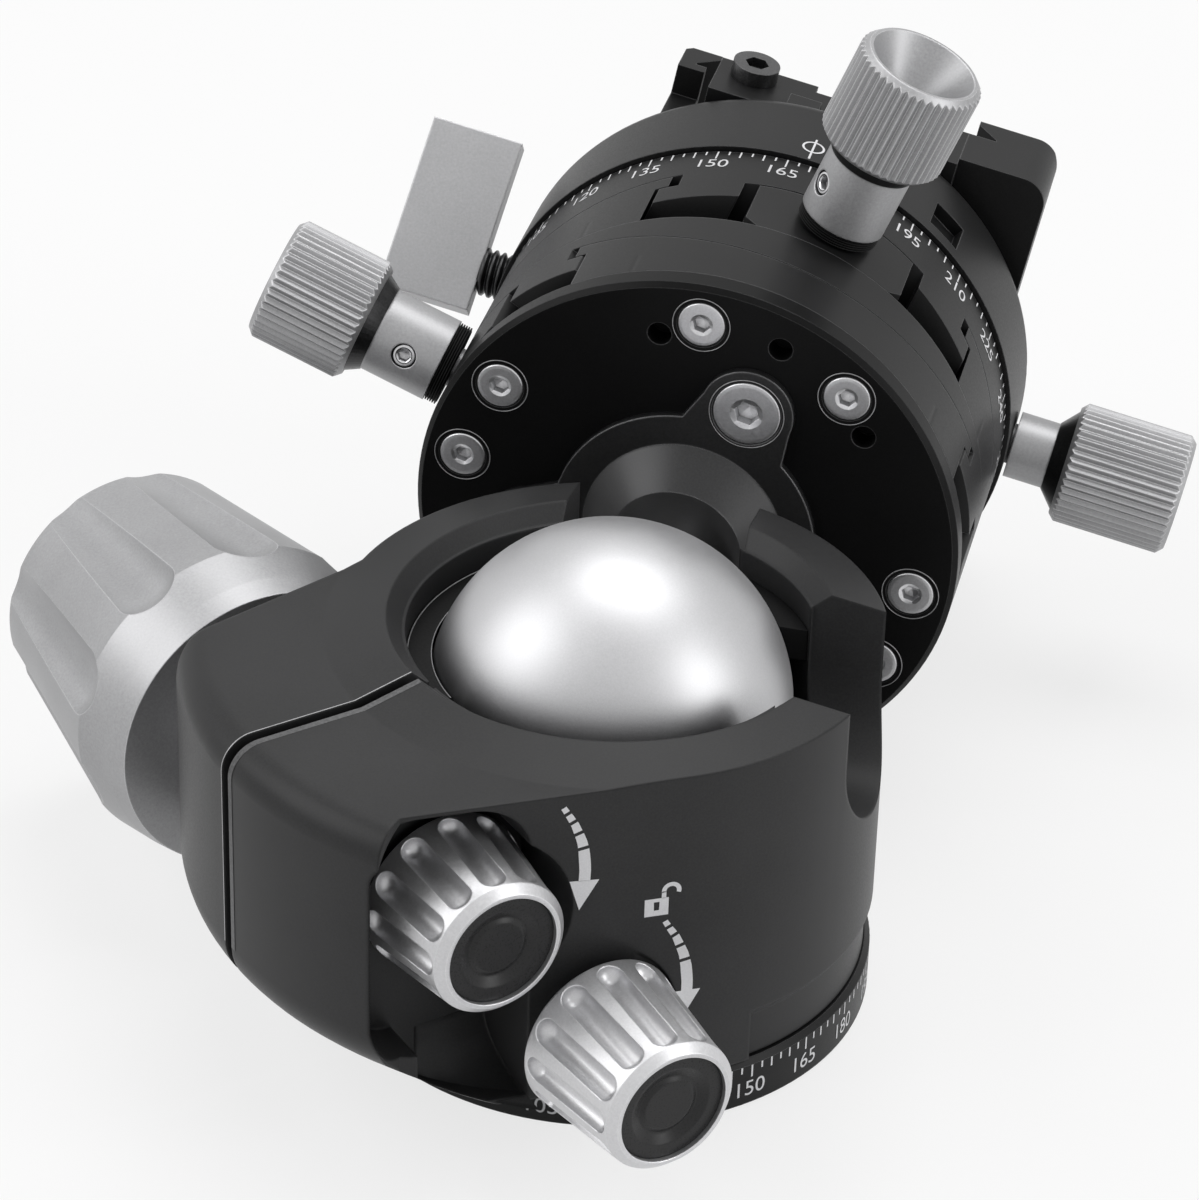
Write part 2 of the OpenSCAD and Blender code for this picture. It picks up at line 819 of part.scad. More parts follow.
// A fluted knob of the given length on its back face, with a seat for its cap
module small_knob(len, bore_h) {
    difference() {
        rotate_extrude() small_profile(len);
        for (i = [0:small_flutes - 1]) rotate([0, 0, i * turn / small_flutes]) small_flute(len);
        translate([0, 0, len - small_cap_depth - small_cap_h])
            cylinder(r = small_cap_r + screw_fit, h = len);
        translate([0, 0, -over]) cylinder(r = small_screw_r + screw_fit, h = bore_h + over);
    }
}

module small_profile(len) {
    polygon([
        [0, 0], [small_back_r - small_edge, 0], [small_back_r, small_edge],
        [small_front_r, len - small_edge], [small_front_r - small_edge, len], [0, len]
    ]);
}

module small_flute(len) {
    lean = atan((small_back_r - small_front_r) / (len - 2 * small_edge));
    translate([small_back_r - small_edge / 3, 0, small_flute_start]) rotate([0, -lean, 0]) {
        sphere(r = small_flute_r);
        cylinder(r = small_flute_r, h = len - small_flute_start - 2 * small_edge - small_flute_r / 2);
        translate([0, 0, len - small_flute_start - 2 * small_edge - small_flute_r / 2])
            sphere(r = small_flute_r);
    }
}

// The dished black cap of a small knob
module small_cap(len) {
    translate([0, 0, len - small_cap_depth - small_cap_h]) difference() {
        cylinder(r = small_cap_r, h = small_cap_h + small_cap_depth / 2);
        translate([0, 0, small_cap_h + small_cap_depth / 2 - small_cap_dish]) difference() {
            cylinder(r1 = small_cap_centre_r + small_cap_dish, r2 = small_cap_r - small_cap_dish,
                h = small_cap_dish + over);
            cylinder(r1 = small_cap_centre_r + small_cap_dish, r2 = small_cap_centre_r,
                h = small_cap_dish / 2);
        }
    }
}

module drag_screw() color([0.6, 0.6, 0.62]) {
    along_lug(drag_reach, drag_z, 1) translate([0, 0, slit_w / 2 + face_gap])
        cylinder(r = small_screw_r, h = drag_back - slit_w / 2 - face_gap + small_socket_depth);
}
module drag_knob() color([0.85, 0.85, 0.86]) {
    along_lug(drag_reach, drag_z, 1) translate([0, 0, drag_back]) small_knob(drag_len, small_socket_depth);
}
module drag_cap() color([0.1, 0.1, 0.1]) {
    along_lug(drag_reach, drag_z, 1) translate([0, 0, drag_back]) small_cap(drag_len);
}
module pan_screw() color([0.6, 0.6, 0.62]) {
    stem_from = pan_wall - stem_sink + face_gap;
    along_lug(pan_reach, pan_z, 1) {
        translate([0, 0, plunger_to + face_gap])
            cylinder(r = small_screw_r, h = pan_back - plunger_to - face_gap + small_socket_depth);
        translate([0, 0, stem_from]) cylinder(r = small_stem_r, h = pan_back - stem_from);
    }
}
module pan_knob() color([0.85, 0.85, 0.86]) {
    along_lug(pan_reach, pan_z, 1) translate([0, 0, pan_back]) small_knob(pan_len, small_socket_depth);
}
module pan_cap() color([0.1, 0.1, 0.1]) {
    along_lug(pan_reach, pan_z, 1) translate([0, 0, pan_back]) small_cap(pan_len);
}
module pan_plunger() color([0.7, 0.6, 0.3]) {
    along_lug(pan_reach, pan_z, 1) translate([0, 0, plunger_from])
        cylinder(r = plunger_r, h = plunger_to - plunger_from);
}

// Ball and stem

module ball() color([0.82, 0.82, 0.83]) {
    head_frame() difference() {
        sphere(r = ball_r);
        translate([0, 0, stem_start]) cylinder(r = ball_r, h = ball_r);
        translate([0, 0, stem_start - spigot_len]) cylinder(r = spigot_r + run_fit, h = ball_r);
    }
}

// The flange's outline: a disc with three lobes round its screws
module lobe_outline(grow) {
    circle(r = lobe_flange_r + grow);
    for (i = [0:lobes - 1]) rotate([0, 0, -head_phi + i * turn / lobes]) {
        translate([lobe_reach, 0]) circle(r = lobe_r + grow);
        polygon([
            polar(lobe_flange_r + grow, -lobe_blend), [lobe_reach, -lobe_r - grow],
            [lobe_reach, lobe_r + grow], polar(lobe_flange_r + grow, lobe_blend)
        ]);
    }
}

module stem() color([0.33, 0.33, 0.34]) {
    head_frame() difference() {
        union() {
            translate([0, 0, stem_start + face_gap - spigot_len])
                cylinder(r = spigot_r, h = spigot_len + over);
            translate([0, 0, stem_start + run_fit]) cylinder(r = stem_r, h = flange_face - stem_start);
            translate([0, 0, flange_face - stem_flare])
                cylinder(r1 = stem_r, r2 = stem_r + stem_flare, h = stem_flare);
            translate([0, 0, flange_face])
                linear_extrude(height = flange_seat - flange_face) lobe_outline(0);
        }
        for (i = [0:lobes - 1]) rotate([0, 0, -head_phi + i * turn / lobes])
            translate([lobe_reach, 0, flange_face]) mirror([0, 0, 1])
                flat_screw_hole(lobe_head_r, lobe_screw_r, lobe_head_h, lobe_screw_len + over);
    }
}

module flange_screws() color([0.82, 0.82, 0.83]) {
    head_frame() for (i = [0:lobes - 1]) rotate([0, 0, -head_phi + i * turn / lobes])
        translate([lobe_reach, 0, flange_face]) mirror([0, 0, 1])
            flat_screw(lobe_head_r, lobe_screw_r, lobe_head_h, lobe_screw_len, lobe_socket_r,
                lobe_socket_deep);
}

// Where the head plate's small screws stand, by direction round the stem
plate_screw_phis = [
    head_phi - guide_screw_phi, head_phi + guide_screw_phi,
    head_phi + turn / 2 - guide_screw_phi, head_phi + turn / 2 + guide_screw_phi,
    head_phi - block_screw_phi, head_phi + block_screw_phi,
    head_phi - block_screw_phi_2, head_phi + block_screw_phi_2
];

module at_plate_screws() {
    head_frame() for (phi = plate_screw_phis)
        at_phi(phi) translate([plate_screw_reach, 0, plate_l]) mirror([0, 0, 1]) children();
}

module head_plate() color([0.11, 0.11, 0.12]) {
    difference() {
        head_frame() difference() {
            translate([0, 0, plate_l]) union() {
                cylinder(r1 = head_r - plate_edge, r2 = head_r, h = plate_edge);
                translate([0, 0, plate_edge]) cylinder(r = head_r, h = plate_h - plate_edge);
            }
            translate([0, 0, plate_l - over]) linear_extrude(height = flange_seat - plate_l + over)
                lobe_outline(screw_fit);
            for (i = [0:lobes - 1]) rotate([0, 0, -head_phi + i * turn / lobes])
                translate([lobe_reach, 0, plate_l - over])
                    cylinder(r = lobe_screw_r + screw_fit, h = plate_h + 2 * over);
            for (side = [-1, 1]) at_phi(head_phi + side * tap_phi)
                translate([tap_reach, 0, plate_l - over]) cylinder(r = tap_r, h = plate_h + 2 * over);
            at_phi(head_phi) translate([tap_mid_reach, 0, plate_l - over])
                cylinder(r = tap_r, h = plate_h + 2 * over);
        }
        at_plate_screws() flat_screw_hole(plate_head_r, plate_screw_r, plate_head_h,
            plate_screw_len + over);
    }
}

module plate_screws() color([0.75, 0.75, 0.77]) {
    at_plate_screws() flat_screw(plate_head_r, plate_screw_r, plate_head_h, plate_screw_len, socket_r,
        socket_deep);
}

// Tilt stages

// Radii of a stage's guide surfaces round the tilt axis, from its floor
function seam_radius(floor_l) = tilt_centre - floor_l - seam_rise;
function lip_radius(floor_l) = seam_radius(floor_l) + lip_depth;
function foot_radius(floor_l) = tilt_centre - floor_l - foot_rise;
function block_radius(floor_l) = norm([head_r, tilt_centre - floor_l - block_top_rise]);
function worm_level(floor_l) = floor_l + worm_rise;
function rack_tip(floor_l) = tilt_centre - worm_level(floor_l) - worm_r + tooth_h;
function rack_root(floor_l) = rack_tip(floor_l) - tooth_h - rack_gap;

// A drum about the tilt axis, as wide as the head
module drum(r) {
    translate([0, 0, tilt_centre]) rotate([90, 0, 0]) translate([0, 0, -drum_w / 2])
        cylinder(r = r, h = drum_w);
}

// A block across the head, between two offsets along the tilt axis and two heights
module slab(y0, y1, low, high) {
    translate([-drum_w / 2, y0, low]) cube([drum_w, y1 - y0, high - low]);
}

// Places children in a stage's frame: X is its travel, Y its tilt axis
module stage_frame(phi) head_frame() at_phi(phi) children();

// The two fixed guides of a stage, with their inward lips
module guides(floor_l) {
    difference() {
        intersection() {
            translate([0, 0, floor_l]) cylinder(r = head_r, h = stage_h);
            union() {
                slab(lip_half, head_r + over, floor_l, floor_l + stage_h);
                slab(-head_r - over, -lip_half, floor_l, floor_l + stage_h);
            }
        }
        drum(seam_radius(floor_l));
        difference() {
            slab(-wall_half, wall_half, floor_l - over, floor_l + stage_h);
            drum(lip_radius(floor_l));
        }
        // Pin holes that join the guides to what carries them
        for (side = [-1, 1], end = [-1, 1])
            translate([end * guide_bolt_x, side * guide_bolt_y, floor_l - over])
                cylinder(r = guide_pin_r + screw_fit, h = guide_pin_len + over);
    }
}

// The moving carriage of a stage: a body, a neck and two feet under the lips
module carriage(floor_l, top_l) {
    difference() {
        intersection() {
            translate([0, 0, floor_l]) cylinder(r = head_r, h = top_l - floor_l);
            union() {
                drum(seam_radius(floor_l) - seam_gap);
                intersection() {
                    slab(-lip_half + neck_gap, lip_half - neck_gap, floor_l, top_l);
                    drum(lip_radius(floor_l) + slide_gap + over);
                }
                intersection() {
                    slab(-wall_half + foot_gap, wall_half - foot_gap, floor_l, top_l);
                    difference() {
                        drum(foot_radius(floor_l));
                        drum(lip_radius(floor_l) + slide_gap);
                    }
                }
            }
        }
        // Room for the worm block, its shaft and the rack
        difference() {
            slab(-cut_half, cut_half, floor_l - over, top_l);
            drum(block_radius(floor_l) - slide_gap);
        }
        slab(-journal_r - slide_gap, journal_r + slide_gap, floor_l - over, top_l - roof_t);
        intersection() {
            slab(-rack_half_w - screw_fit, rack_half_w + screw_fit, floor_l, top_l);
            translate([-rack_half_l - screw_fit, -head_r, floor_l])
                cube([2 * rack_half_l + 2 * screw_fit, 2 * head_r, top_l]);
            difference() {
                drum(tilt_centre);
                drum(rack_root(floor_l) - rack_back - screw_fit);
            }
            translate([-head_r, -head_r, floor_l]) cube([2 * head_r, 2 * head_r, top_l - floor_l - roof_t]);
        }
        intersection() {
            slab(-worm_r - slide_gap, worm_r + slide_gap, floor_l - over, top_l - roof_t);
            difference() {
                drum(tilt_centre);
                drum(tilt_centre - worm_level(floor_l) - worm_r - slide_gap);
            }
        }
    }
}

// The toothed rack that a worm drives, let into the carriage
module rack(floor_l) {
    pitch_turn = worm_pitch / (rack_tip(floor_l) - tooth_h / 2) * radian;
    teeth = floor(rack_half_l / worm_pitch);
    intersection() {
        difference() {
            drum(rack_root(floor_l));
            drum(rack_root(floor_l) - rack_back);
        }
        translate([-rack_half_l, -rack_half_w, floor_l])
            cube([2 * rack_half_l, 2 * rack_half_w, stage_h - roof_t]);
    }
    for (i = [-teeth:teeth]) translate([0, 0, tilt_centre]) rotate([0, i * pitch_turn, 0])
        translate([0, 0, -rack_root(floor_l)]) rotate([0, 0, helix]) rack_tooth();
}

module rack_tooth() {
    deep = tooth_h + rack_gap;
    rotate([90, 0, 0]) translate([0, 0, -tooth_half_w]) linear_extrude(height = 2 * tooth_half_w)
        polygon([
            [-tooth_root / 2, rack_gap], [tooth_root / 2, rack_gap],
            [tooth_tip / 2, -deep], [-tooth_tip / 2, -deep]
        ]);
}

// The fixed block that carries a worm in two bearings
module worm_block(floor_l) {
    difference() {
        intersection() {
            translate([0, 0, floor_l]) cylinder(r = head_r, h = stage_h);
            translate([-drum_w / 2, 0, floor_l]) rotate([90, 0, 90]) linear_extrude(height = drum_w)
                polygon([
                    [-block_half + block_edge, 0], [block_half - block_edge, 0], [block_half, block_edge],
                    [block_half, stage_h], [-block_half, stage_h], [-block_half, block_edge]
                ]);
        }
        drum(block_radius(floor_l));
        translate([0, 0, worm_level(floor_l)]) rotate([0, 90, 0]) {
            translate([0, 0, -shaft_tail - over])
                cylinder(r = journal_r + run_fit, h = shaft_tail + head_r + 2 * over);
            translate([0, 0, -chamber_half]) cylinder(r = chamber_r, h = 2 * chamber_half);
        }
        // The chamber and the shaft stay open towards the rack
        translate([-chamber_half, -chamber_r, worm_level(floor_l)])
            cube([2 * chamber_half, 2 * chamber_r, stage_h]);
        for (side = [-1, 1], end = [-1, 1])
            translate([end * block_bolt_x, side * block_bolt_y, floor_l - over])
                cylinder(r = block_pin_r + screw_fit, h = block_pin_len + over);
    }
}

// A worm's radius at an angle round its axis: crests, flanks and roots
function thread_share(p) = max(0, min(1, (flank_share - abs(p)) / (flank_share - crest_share)));
function worm_radius(a) = worm_r - worm_depth
    + worm_depth * thread_share((worm_starts * (a / turn - 1 / 2) + worm_starts) % 1 - 1 / 2);

module worm(floor_l) {
    translate([0, 0, worm_level(floor_l)]) rotate([0, 90, 0]) {
        translate([0, 0, -worm_len / 2]) linear_extrude(
            height = worm_len, twist = -turn * worm_len / worm_lead, slices = worm_slices, $fn = worm_steps)
            polygon([for (i = [0:worm_steps - 1]) polar(worm_radius(i * turn / worm_steps),
                i * turn / worm_steps)]);
        translate([0, 0, -shaft_tail]) cylinder(r = journal_r, h = shaft_tail - worm_len / 2);
        translate([0, 0, worm_len / 2]) cylinder(r = journal_r, h = shaft_end - worm_len / 2);
    }
}

// Places children along a worm's axis, Z running outwards from the stem axis
module worm_axis(phi, floor_l) {
    stage_frame(phi) translate([0, 0, worm_level(floor_l)]) rotate([0, 90, 0]) children();
}

module worm_washer() {
    translate([0, 0, head_r + face_gap])
        tube(washer_r, journal_r + screw_fit, collar_start - head_r - 2 * face_gap + seam_gap);
}

// The collar and cone of a worm knob, bored for its shaft and its set screw
module worm_collar(set_turn) {
    difference() {
        union() {
            translate([0, 0, collar_start]) cylinder(r = collar_r, h = collar_len);
            translate([0, 0, collar_start + collar_len])
                cylinder(r1 = collar_r, r2 = collar_cone_r, h = cone_len);
        }
        translate([0, 0, collar_start - over])
            cylinder(r = journal_r + screw_fit, h = collar_len + cone_len + 2 * over);
        rotate([0, 0, set_turn]) translate([0, 0, collar_start + set_screw_at]) rotate([0, 90, 0])
            cylinder(r = set_screw_r + screw_fit, h = collar_r + over);
    }
}

module worm_set_screw(set_turn) {
    rotate([0, 0, set_turn]) translate([0, 0, collar_start + set_screw_at]) rotate([0, 90, 0])
        difference() {
        translate([0, 0, journal_r + screw_fit]) cylinder(r = set_screw_r, h = set_screw_len);
        translate([0, 0, journal_r + set_screw_len / 2])
            cylinder(r = set_socket_r, h = set_screw_len, $fn = 6);
    }
}

// A knurled grip: straight ridges, bevelled ends and a deep conical dish
module knurled_grip(start, len, bore_h) {
    translate([0, 0, start]) difference() {
        intersection() {
            linear_extrude(height = len) star(grip_r, grip_r - grip_depth, grip_ridges);
            union() {
                cylinder(r1 = grip_r - grip_chamfer, r2 = grip_r + over, h = grip_chamfer + over);
                translate([0, 0, grip_chamfer + over])
                    cylinder(r = grip_r + over, h = len - 2 * (grip_chamfer + over));
                translate([0, 0, len - grip_chamfer - over])
                    cylinder(r1 = grip_r + over, r2 = grip_r - grip_chamfer, h = grip_chamfer + over);
            }
        }
        translate([0, 0, len - dish_depth])
            cylinder(r1 = dish_bottom_r, r2 = dish_r + over * (dish_r - dish_bottom_r) / dish_depth,
                h = dish_depth + over);
        translate([0, 0, -over]) cylinder(r = journal_r + screw_fit, h = bore_h + over);
    }
}

module lower_guides() color([0.12, 0.12, 0.13]) {
    difference() {
        stage_frame(lower_phi) guides(floor_low);
        at_plate_screws() translate([0, 0, -plate_screw_len - over])
            cylinder(r = plate_screw_r + screw_fit, h = plate_screw_len);
    }
}
module lower_worm_block() color([0.12, 0.12, 0.13]) {
    difference() {
        stage_frame(lower_phi) worm_block(floor_low);
        at_plate_screws() translate([0, 0, -plate_screw_len - over])
            cylinder(r = plate_screw_r + screw_fit, h = plate_screw_len);
    }
}
module lower_worm() color([0.7, 0.7, 0.72]) stage_frame(lower_phi) worm(floor_low);
module lower_washer() color([0.15, 0.15, 0.15]) worm_axis(lower_phi, floor_low) worm_washer();
module lower_collar() color([0.72, 0.72, 0.73]) worm_axis(lower_phi, floor_low) worm_collar(lower_set_turn);
module lower_grip() color([0.72, 0.72, 0.73])
    worm_axis(lower_phi, floor_low) knurled_grip(grip_start, grip_len, grip_bore);
module lower_set_screw() color([0.3, 0.3, 0.3]) worm_axis(lower_phi, floor_low)
    worm_set_screw(lower_set_turn);
module lower_carriage() color([0.12, 0.12, 0.13]) stage_frame(lower_phi) carriage(floor_low, floor_high);
module lower_rack() color([0.7, 0.6, 0.35]) stage_frame(lower_phi) rack(floor_low);

module upper_guides() color([0.12, 0.12, 0.13]) stage_frame(head_phi) guides(floor_high);
module upper_worm_block() color([0.12, 0.12, 0.13]) stage_frame(head_phi) worm_block(floor_high);
module upper_worm() color([0.7, 0.7, 0.72]) stage_frame(head_phi) worm(floor_high);
module upper_washer() color([0.15, 0.15, 0.15]) worm_axis(head_phi, floor_high) worm_washer();
module upper_collar() color([0.78, 0.78, 0.79]) worm_axis(head_phi, floor_high) worm_collar(upper_set_turn);
module upper_grip() color([0.78, 0.78, 0.79])
    worm_axis(head_phi, floor_high) knurled_grip(grip_start, grip_len, grip_bore);
module upper_set_screw() color([0.3, 0.3, 0.3]) worm_axis(head_phi, floor_high)
    worm_set_screw(upper_set_turn);
module upper_rack() color([0.7, 0.6, 0.35]) stage_frame(head_phi) rack(floor_high);

module upper_carriage() color([0.12, 0.12, 0.13]) {
    difference() {
        union() {
            stage_frame(head_phi) carriage(floor_high, scale_top);
            head_frame() translate([0, 0, scale_top - over]) cylinder(r = hub_r, h = hub_h + over);
        }
        head_frame() for (i = [0:keeper_screws - 1]) rotate([0, 0, i * turn / keeper_screws])
            translate([keeper_screw_reach, 0, hub_top - keeper_thread])
                cylinder(r = keeper_screw_r + screw_fit, h = keeper_thread + over);
    }
}

module keeper_ring() color([0.55, 0.55, 0.57]) {
    head_frame() translate([0, 0, hub_top + run_fit]) difference() {
        cylinder(r = keeper_r, h = keeper_h);
        for (i = [0:keeper_screws - 1]) rotate([0, 0, i * turn / keeper_screws])
            translate([keeper_screw_reach, 0, -over])
                cylinder(r = keeper_screw_r + screw_fit, h = keeper_h + 2 * over);
    }
}
module keeper_screws() color([0.4, 0.4, 0.42]) {
    head_frame() for (i = [0:keeper_screws - 1]) rotate([0, 0, i * turn / keeper_screws])
        translate([keeper_screw_reach, 0, hub_top - keeper_thread + screw_fit]) {
            cylinder(r = keeper_screw_r, h = keeper_thread + keeper_h + run_fit);
            translate([0, 0, keeper_thread + keeper_h + run_fit])
                cylinder(r = 2 * keeper_screw_r, h = keeper_head);
        }
}

// Turntable

// Places children in the clamp's frame: X across the clamp, Z along the stem
module clamp_frame() head_frame() at_phi(clamp_phi) children();

module turntable() color([0.13, 0.13, 0.14]) {
    clamp_frame() difference() {
        union() {
            translate([0, 0, turn_z]) cylinder(r = turn_r, h = turn_h - turn_fillet);
            translate([0, 0, turn_top - turn_fillet]) rotate_extrude() difference() {
                union() {
                    square([turn_r - turn_fillet, turn_fillet]);
                    translate([turn_r - turn_fillet, 0]) circle(r = turn_fillet);
                }
                translate([-turn_r, -turn_r]) square([2 * turn_r, turn_r]);
                translate([-turn_r, -turn_r]) square([turn_r, 2 * turn_r]);
            }
        }
        translate([0, 0, turn_z - over]) cylinder(r = hub_r + run_fit, h = turn_h + 2 * over);
        translate([0, 0, hub_top - keeper_gap]) cylinder(r = counter_r, h = turn_h);
        // Slot for the moving jaw's lug
        translate([lip_left - jaw_body_t - lug_slot_out, -slot_half, turn_z + lug_low - face_gap])
            cube([lug_t + lug_slot_in + lug_slot_out, 2 * slot_half, turn_h]);
        // Threaded hole for the jaw screw and the hole of the turntable lock
        translate([0, 0, screw_level]) rotate([0, -90, 0]) translate([0, 0, counter_r])
            cylinder(r = screw_r + run_fit, h = turn_r);
        translate([0, 0, lock_level]) rotate([0, 90, 0]) translate([0, 0, hub_r - over])
            cylinder(r = lock_screw_r + run_fit, h = turn_r);
        // Relief pockets in the rim
        for (side = [-1, 1]) rotate([0, 0, side * relief_turn])
            translate([turn_r - relief_deep, -relief_w / 2, turn_z + relief_rise])
                cube([turn_r, relief_w, relief_h]);
        // Guide pins and clamp bolts
        for (side = [-1, 1]) translate([0, side * clamp_bolt_v, turn_top - clamp_bolt_sink])
            cylinder(r = clamp_bolt_r + screw_fit, h = clamp_bolt_sink + over);
    }
}

module lock_pad() color([0.7, 0.6, 0.3]) {
    clamp_frame() translate([0, 0, lock_level]) rotate([0, 90, 0])
        translate([0, 0, hub_r + slide_gap + pad_round])
            cylinder(r = lock_screw_r - screw_fit, h = pad_len - pad_round);
}
module lock_screw() color([0.75, 0.75, 0.76]) {
    clamp_frame() translate([0, 0, lock_level]) rotate([0, 90, 0]) {
        translate([0, 0, lock_screw_in + face_gap])
            cylinder(r = lock_screw_r, h = turn_r - lock_screw_in + lock_len);
        translate([0, 0, turn_r + face_gap]) cylinder(r = lock_stem_r, h = lock_len - face_gap);
        translate([0, 0, turn_r + lock_len])
            cylinder(r1 = lock_stem_r, r2 = collar_cone_r, h = lock_cone_len);
        translate([0, 0, turn_r + lock_len]) cylinder(r = journal_r, h = lock_cone_len + grip_bore);
    }
}
module lock_grip() color([0.62, 0.62, 0.63]) {
    clamp_frame() translate([0, 0, lock_level]) rotate([0, 90, 0])
        knurled_grip(turn_r + lock_len + lock_cone_len, lock_grip_len, grip_bore);
}

// Plate clamp

// The clamp's base with its dovetail seat
module clamp_body() color([0.12, 0.12, 0.13]) {
    clamp_frame() difference() {
        translate([-clamp_left, -clamp_half, clamp_z])
            cube([clamp_left + clamp_right, 2 * clamp_half, seat_h]);
        translate([seat_slot_u - seat_slot_w / 2, -clamp_half - over, seat_z - seat_slot_h])
            cube([seat_slot_w, 2 * clamp_half + 2 * over, seat_h]);
        for (side = [-1, 1]) {
            translate([0, side * clamp_bolt_v, clamp_z - over])
                cylinder(r = clamp_bolt_r + screw_fit, h = seat_h + 2 * over);
            translate([0, side * clamp_bolt_v, seat_z - clamp_bolt_head])
                cylinder(r = 2 * clamp_bolt_r, h = seat_h);
            translate([-clamp_left - over, side * guide_pin_v, clamp_z + jaw_pin_rise]) rotate([0, 90, 0])
                cylinder(r = jaw_pin_r + screw_fit, h = jaw_pin_in + over);
            translate([stop_u, side * clamp_half, clamp_z + stop_rise]) rotate([side * -90, 0, 0])
                translate([0, 0, -stop_len]) cylinder(r = stop_screw_r + screw_fit, h = stop_len + over);
        }
    }
}

// The two bolts that hold the clamp down on the turntable
module clamp_bolts() color([0.6, 0.6, 0.62]) {
    head_low = seat_z - clamp_bolt_head;
    clamp_frame() for (side = [-1, 1]) translate([0, side * clamp_bolt_v, 0]) difference() {
        union() {
            translate([0, 0, turn_top - clamp_bolt_sink + screw_fit])
                cylinder(r = clamp_bolt_r, h = head_low - turn_top + clamp_bolt_sink);
            translate([0, 0, head_low])
                cylinder(r = 2 * clamp_bolt_r - screw_fit, h = clamp_bolt_head - seam_gap);
        }
        translate([0, 0, seat_z - clamp_bolt_head / 2])
            cylinder(r = clamp_bolt_socket_r, h = clamp_bolt_head, $fn = 6);
    }
}

// A small key that keeps the clamp from turning on the turntable
module clamp_key() color([0.12, 0.12, 0.13]) {
    clamp_frame() translate([key_u, -clamp_half - key_t, clamp_z + seam_gap])
        cube([key_w, key_t, key_h]);
}

module stop_screws() color([0.25, 0.25, 0.26]) {
    clamp_frame() for (side = [-1, 1]) translate([stop_u, side * clamp_half, clamp_z + stop_rise])
        rotate([side * -90, 0, 0]) difference() {
            union() {
                translate([0, 0, -stop_len + screw_fit]) cylinder(r = stop_screw_r, h = stop_len);
                cylinder(r = stop_head_r, h = stop_head_h);
            }
            translate([0, 0, stop_head_h / 3]) cylinder(r = stop_screw_r, h = stop_head_h, $fn = 6);
        }
}

// A jaw's cross-section: the lip hangs over a dovetail groove
function jaw_outline(w, low) = [
    [0, jaw_top], [0, jaw_top - lip_t], [groove_in, jaw_top - lip_t - groove_in],
    [groove_in, seat_z], [jaw_in, seat_z], [jaw_in, low],
    [w, low], [w, jaw_top - jaw_edge], [w - jaw_edge, jaw_top]
];

module fixed_jaw() color([0.12, 0.12, 0.13]) {
    clamp_frame() intersection() {
        translate([lip_right, clamp_half, 0]) rotate([90, 0, 0]) linear_extrude(height = 2 * clamp_half)
            polygon(concat(
                [[0, jaw_top], [0, jaw_top - lip_t], [groove_in, jaw_top - lip_t - groove_in]],
                [[groove_in, seat_z], [clamp_right - lip_right, seat_z], [clamp_right - lip_right,
                    fixed_low]],
                [[fixed_jaw_w, fixed_low], [fixed_jaw_w, jaw_top - jaw_edge], [fixed_jaw_w - jaw_edge,
                    jaw_top]]
            ));
        fixed_plan();
    }
}

// Rounds the two outer corners of the fixed jaw
module fixed_plan() {
    u = lip_right + fixed_jaw_w - fixed_corner;
    v = clamp_half - fixed_corner;
    translate([0, 0, clamp_z]) {
        translate([-clamp_left, -clamp_half, 0]) cube([u + clamp_left, 2 * clamp_half, seat_h + jaw_h]);
        translate([-clamp_left, -v, 0]) cube([u + fixed_corner + clamp_left, 2 * v, seat_h + jaw_h]);
        for (side = [-1, 1]) translate([u, side * v, 0]) cylinder(r = fixed_corner, h = seat_h + jaw_h);
    }
}

module moving_jaw() color([0.12, 0.12, 0.13]) {
    clamp_frame() difference() {
        union() {
            translate([lip_left, -jaw_half, 0]) rotate([90, 0, 180]) linear_extrude(height = 2 * jaw_half)
                polygon(jaw_outline(moving_jaw_w, jaw_low));
            translate([lip_left - moving_jaw_w, -lug_half, turn_z + lug_low])
                cube([lug_t, 2 * lug_half, jaw_low - turn_z - lug_low + over]);
            // Ears down to the guide pins
            for (side = [-1, 1])
                translate([lip_left - moving_jaw_w, side * guide_pin_v - ear_half, clamp_z + ear_rise])
                    cube([lug_t - seam_gap, 2 * ear_half, jaw_low - clamp_z - ear_rise + over]);
        }
        for (side = [-1, 1])
            translate([lip_left - moving_jaw_w - over, side * guide_pin_v, clamp_z + jaw_pin_rise])
            rotate([0, 90, 0]) cylinder(r = jaw_pin_r + screw_fit, h = moving_jaw_w + 2 * over);
        translate([lip_left - moving_jaw_w - over, 0, screw_level]) rotate([0, 90, 0])
            cylinder(r = screw_neck_r + run_fit, h = moving_jaw_w + 2 * over);
    }
}

// The pins that keep the moving jaw square to the clamp
module jaw_pins() color([0.7, 0.7, 0.72]) {
    clamp_frame() for (side = [-1, 1])
        translate([lip_left - moving_jaw_w + seam_gap, side * guide_pin_v, clamp_z + jaw_pin_rise])
            rotate([0, 90, 0])
            cylinder(r = jaw_pin_r, h = moving_jaw_w - groove_in + jaw_pin_in - lug_slot_in);
}

module jaw_screw() color([0.3, 0.3, 0.32]) {
    clamp_frame() translate([0, 0, screw_level]) rotate([0, -90, 0]) {
        translate([0, 0, -lip_left + moving_jaw_w + face_gap])
            cylinder(r = screw_r, h = paddle_start - moving_jaw_w + lip_left - face_gap);
        translate([0, 0, -lip_left + moving_jaw_w - lug_t]) cylinder(r = screw_neck_r, h = lug_t + over);
        translate([0, 0, paddle_start - over]) cylinder(r = paddle_rod_r, h = paddle_w - jaw_edge);
    }
}

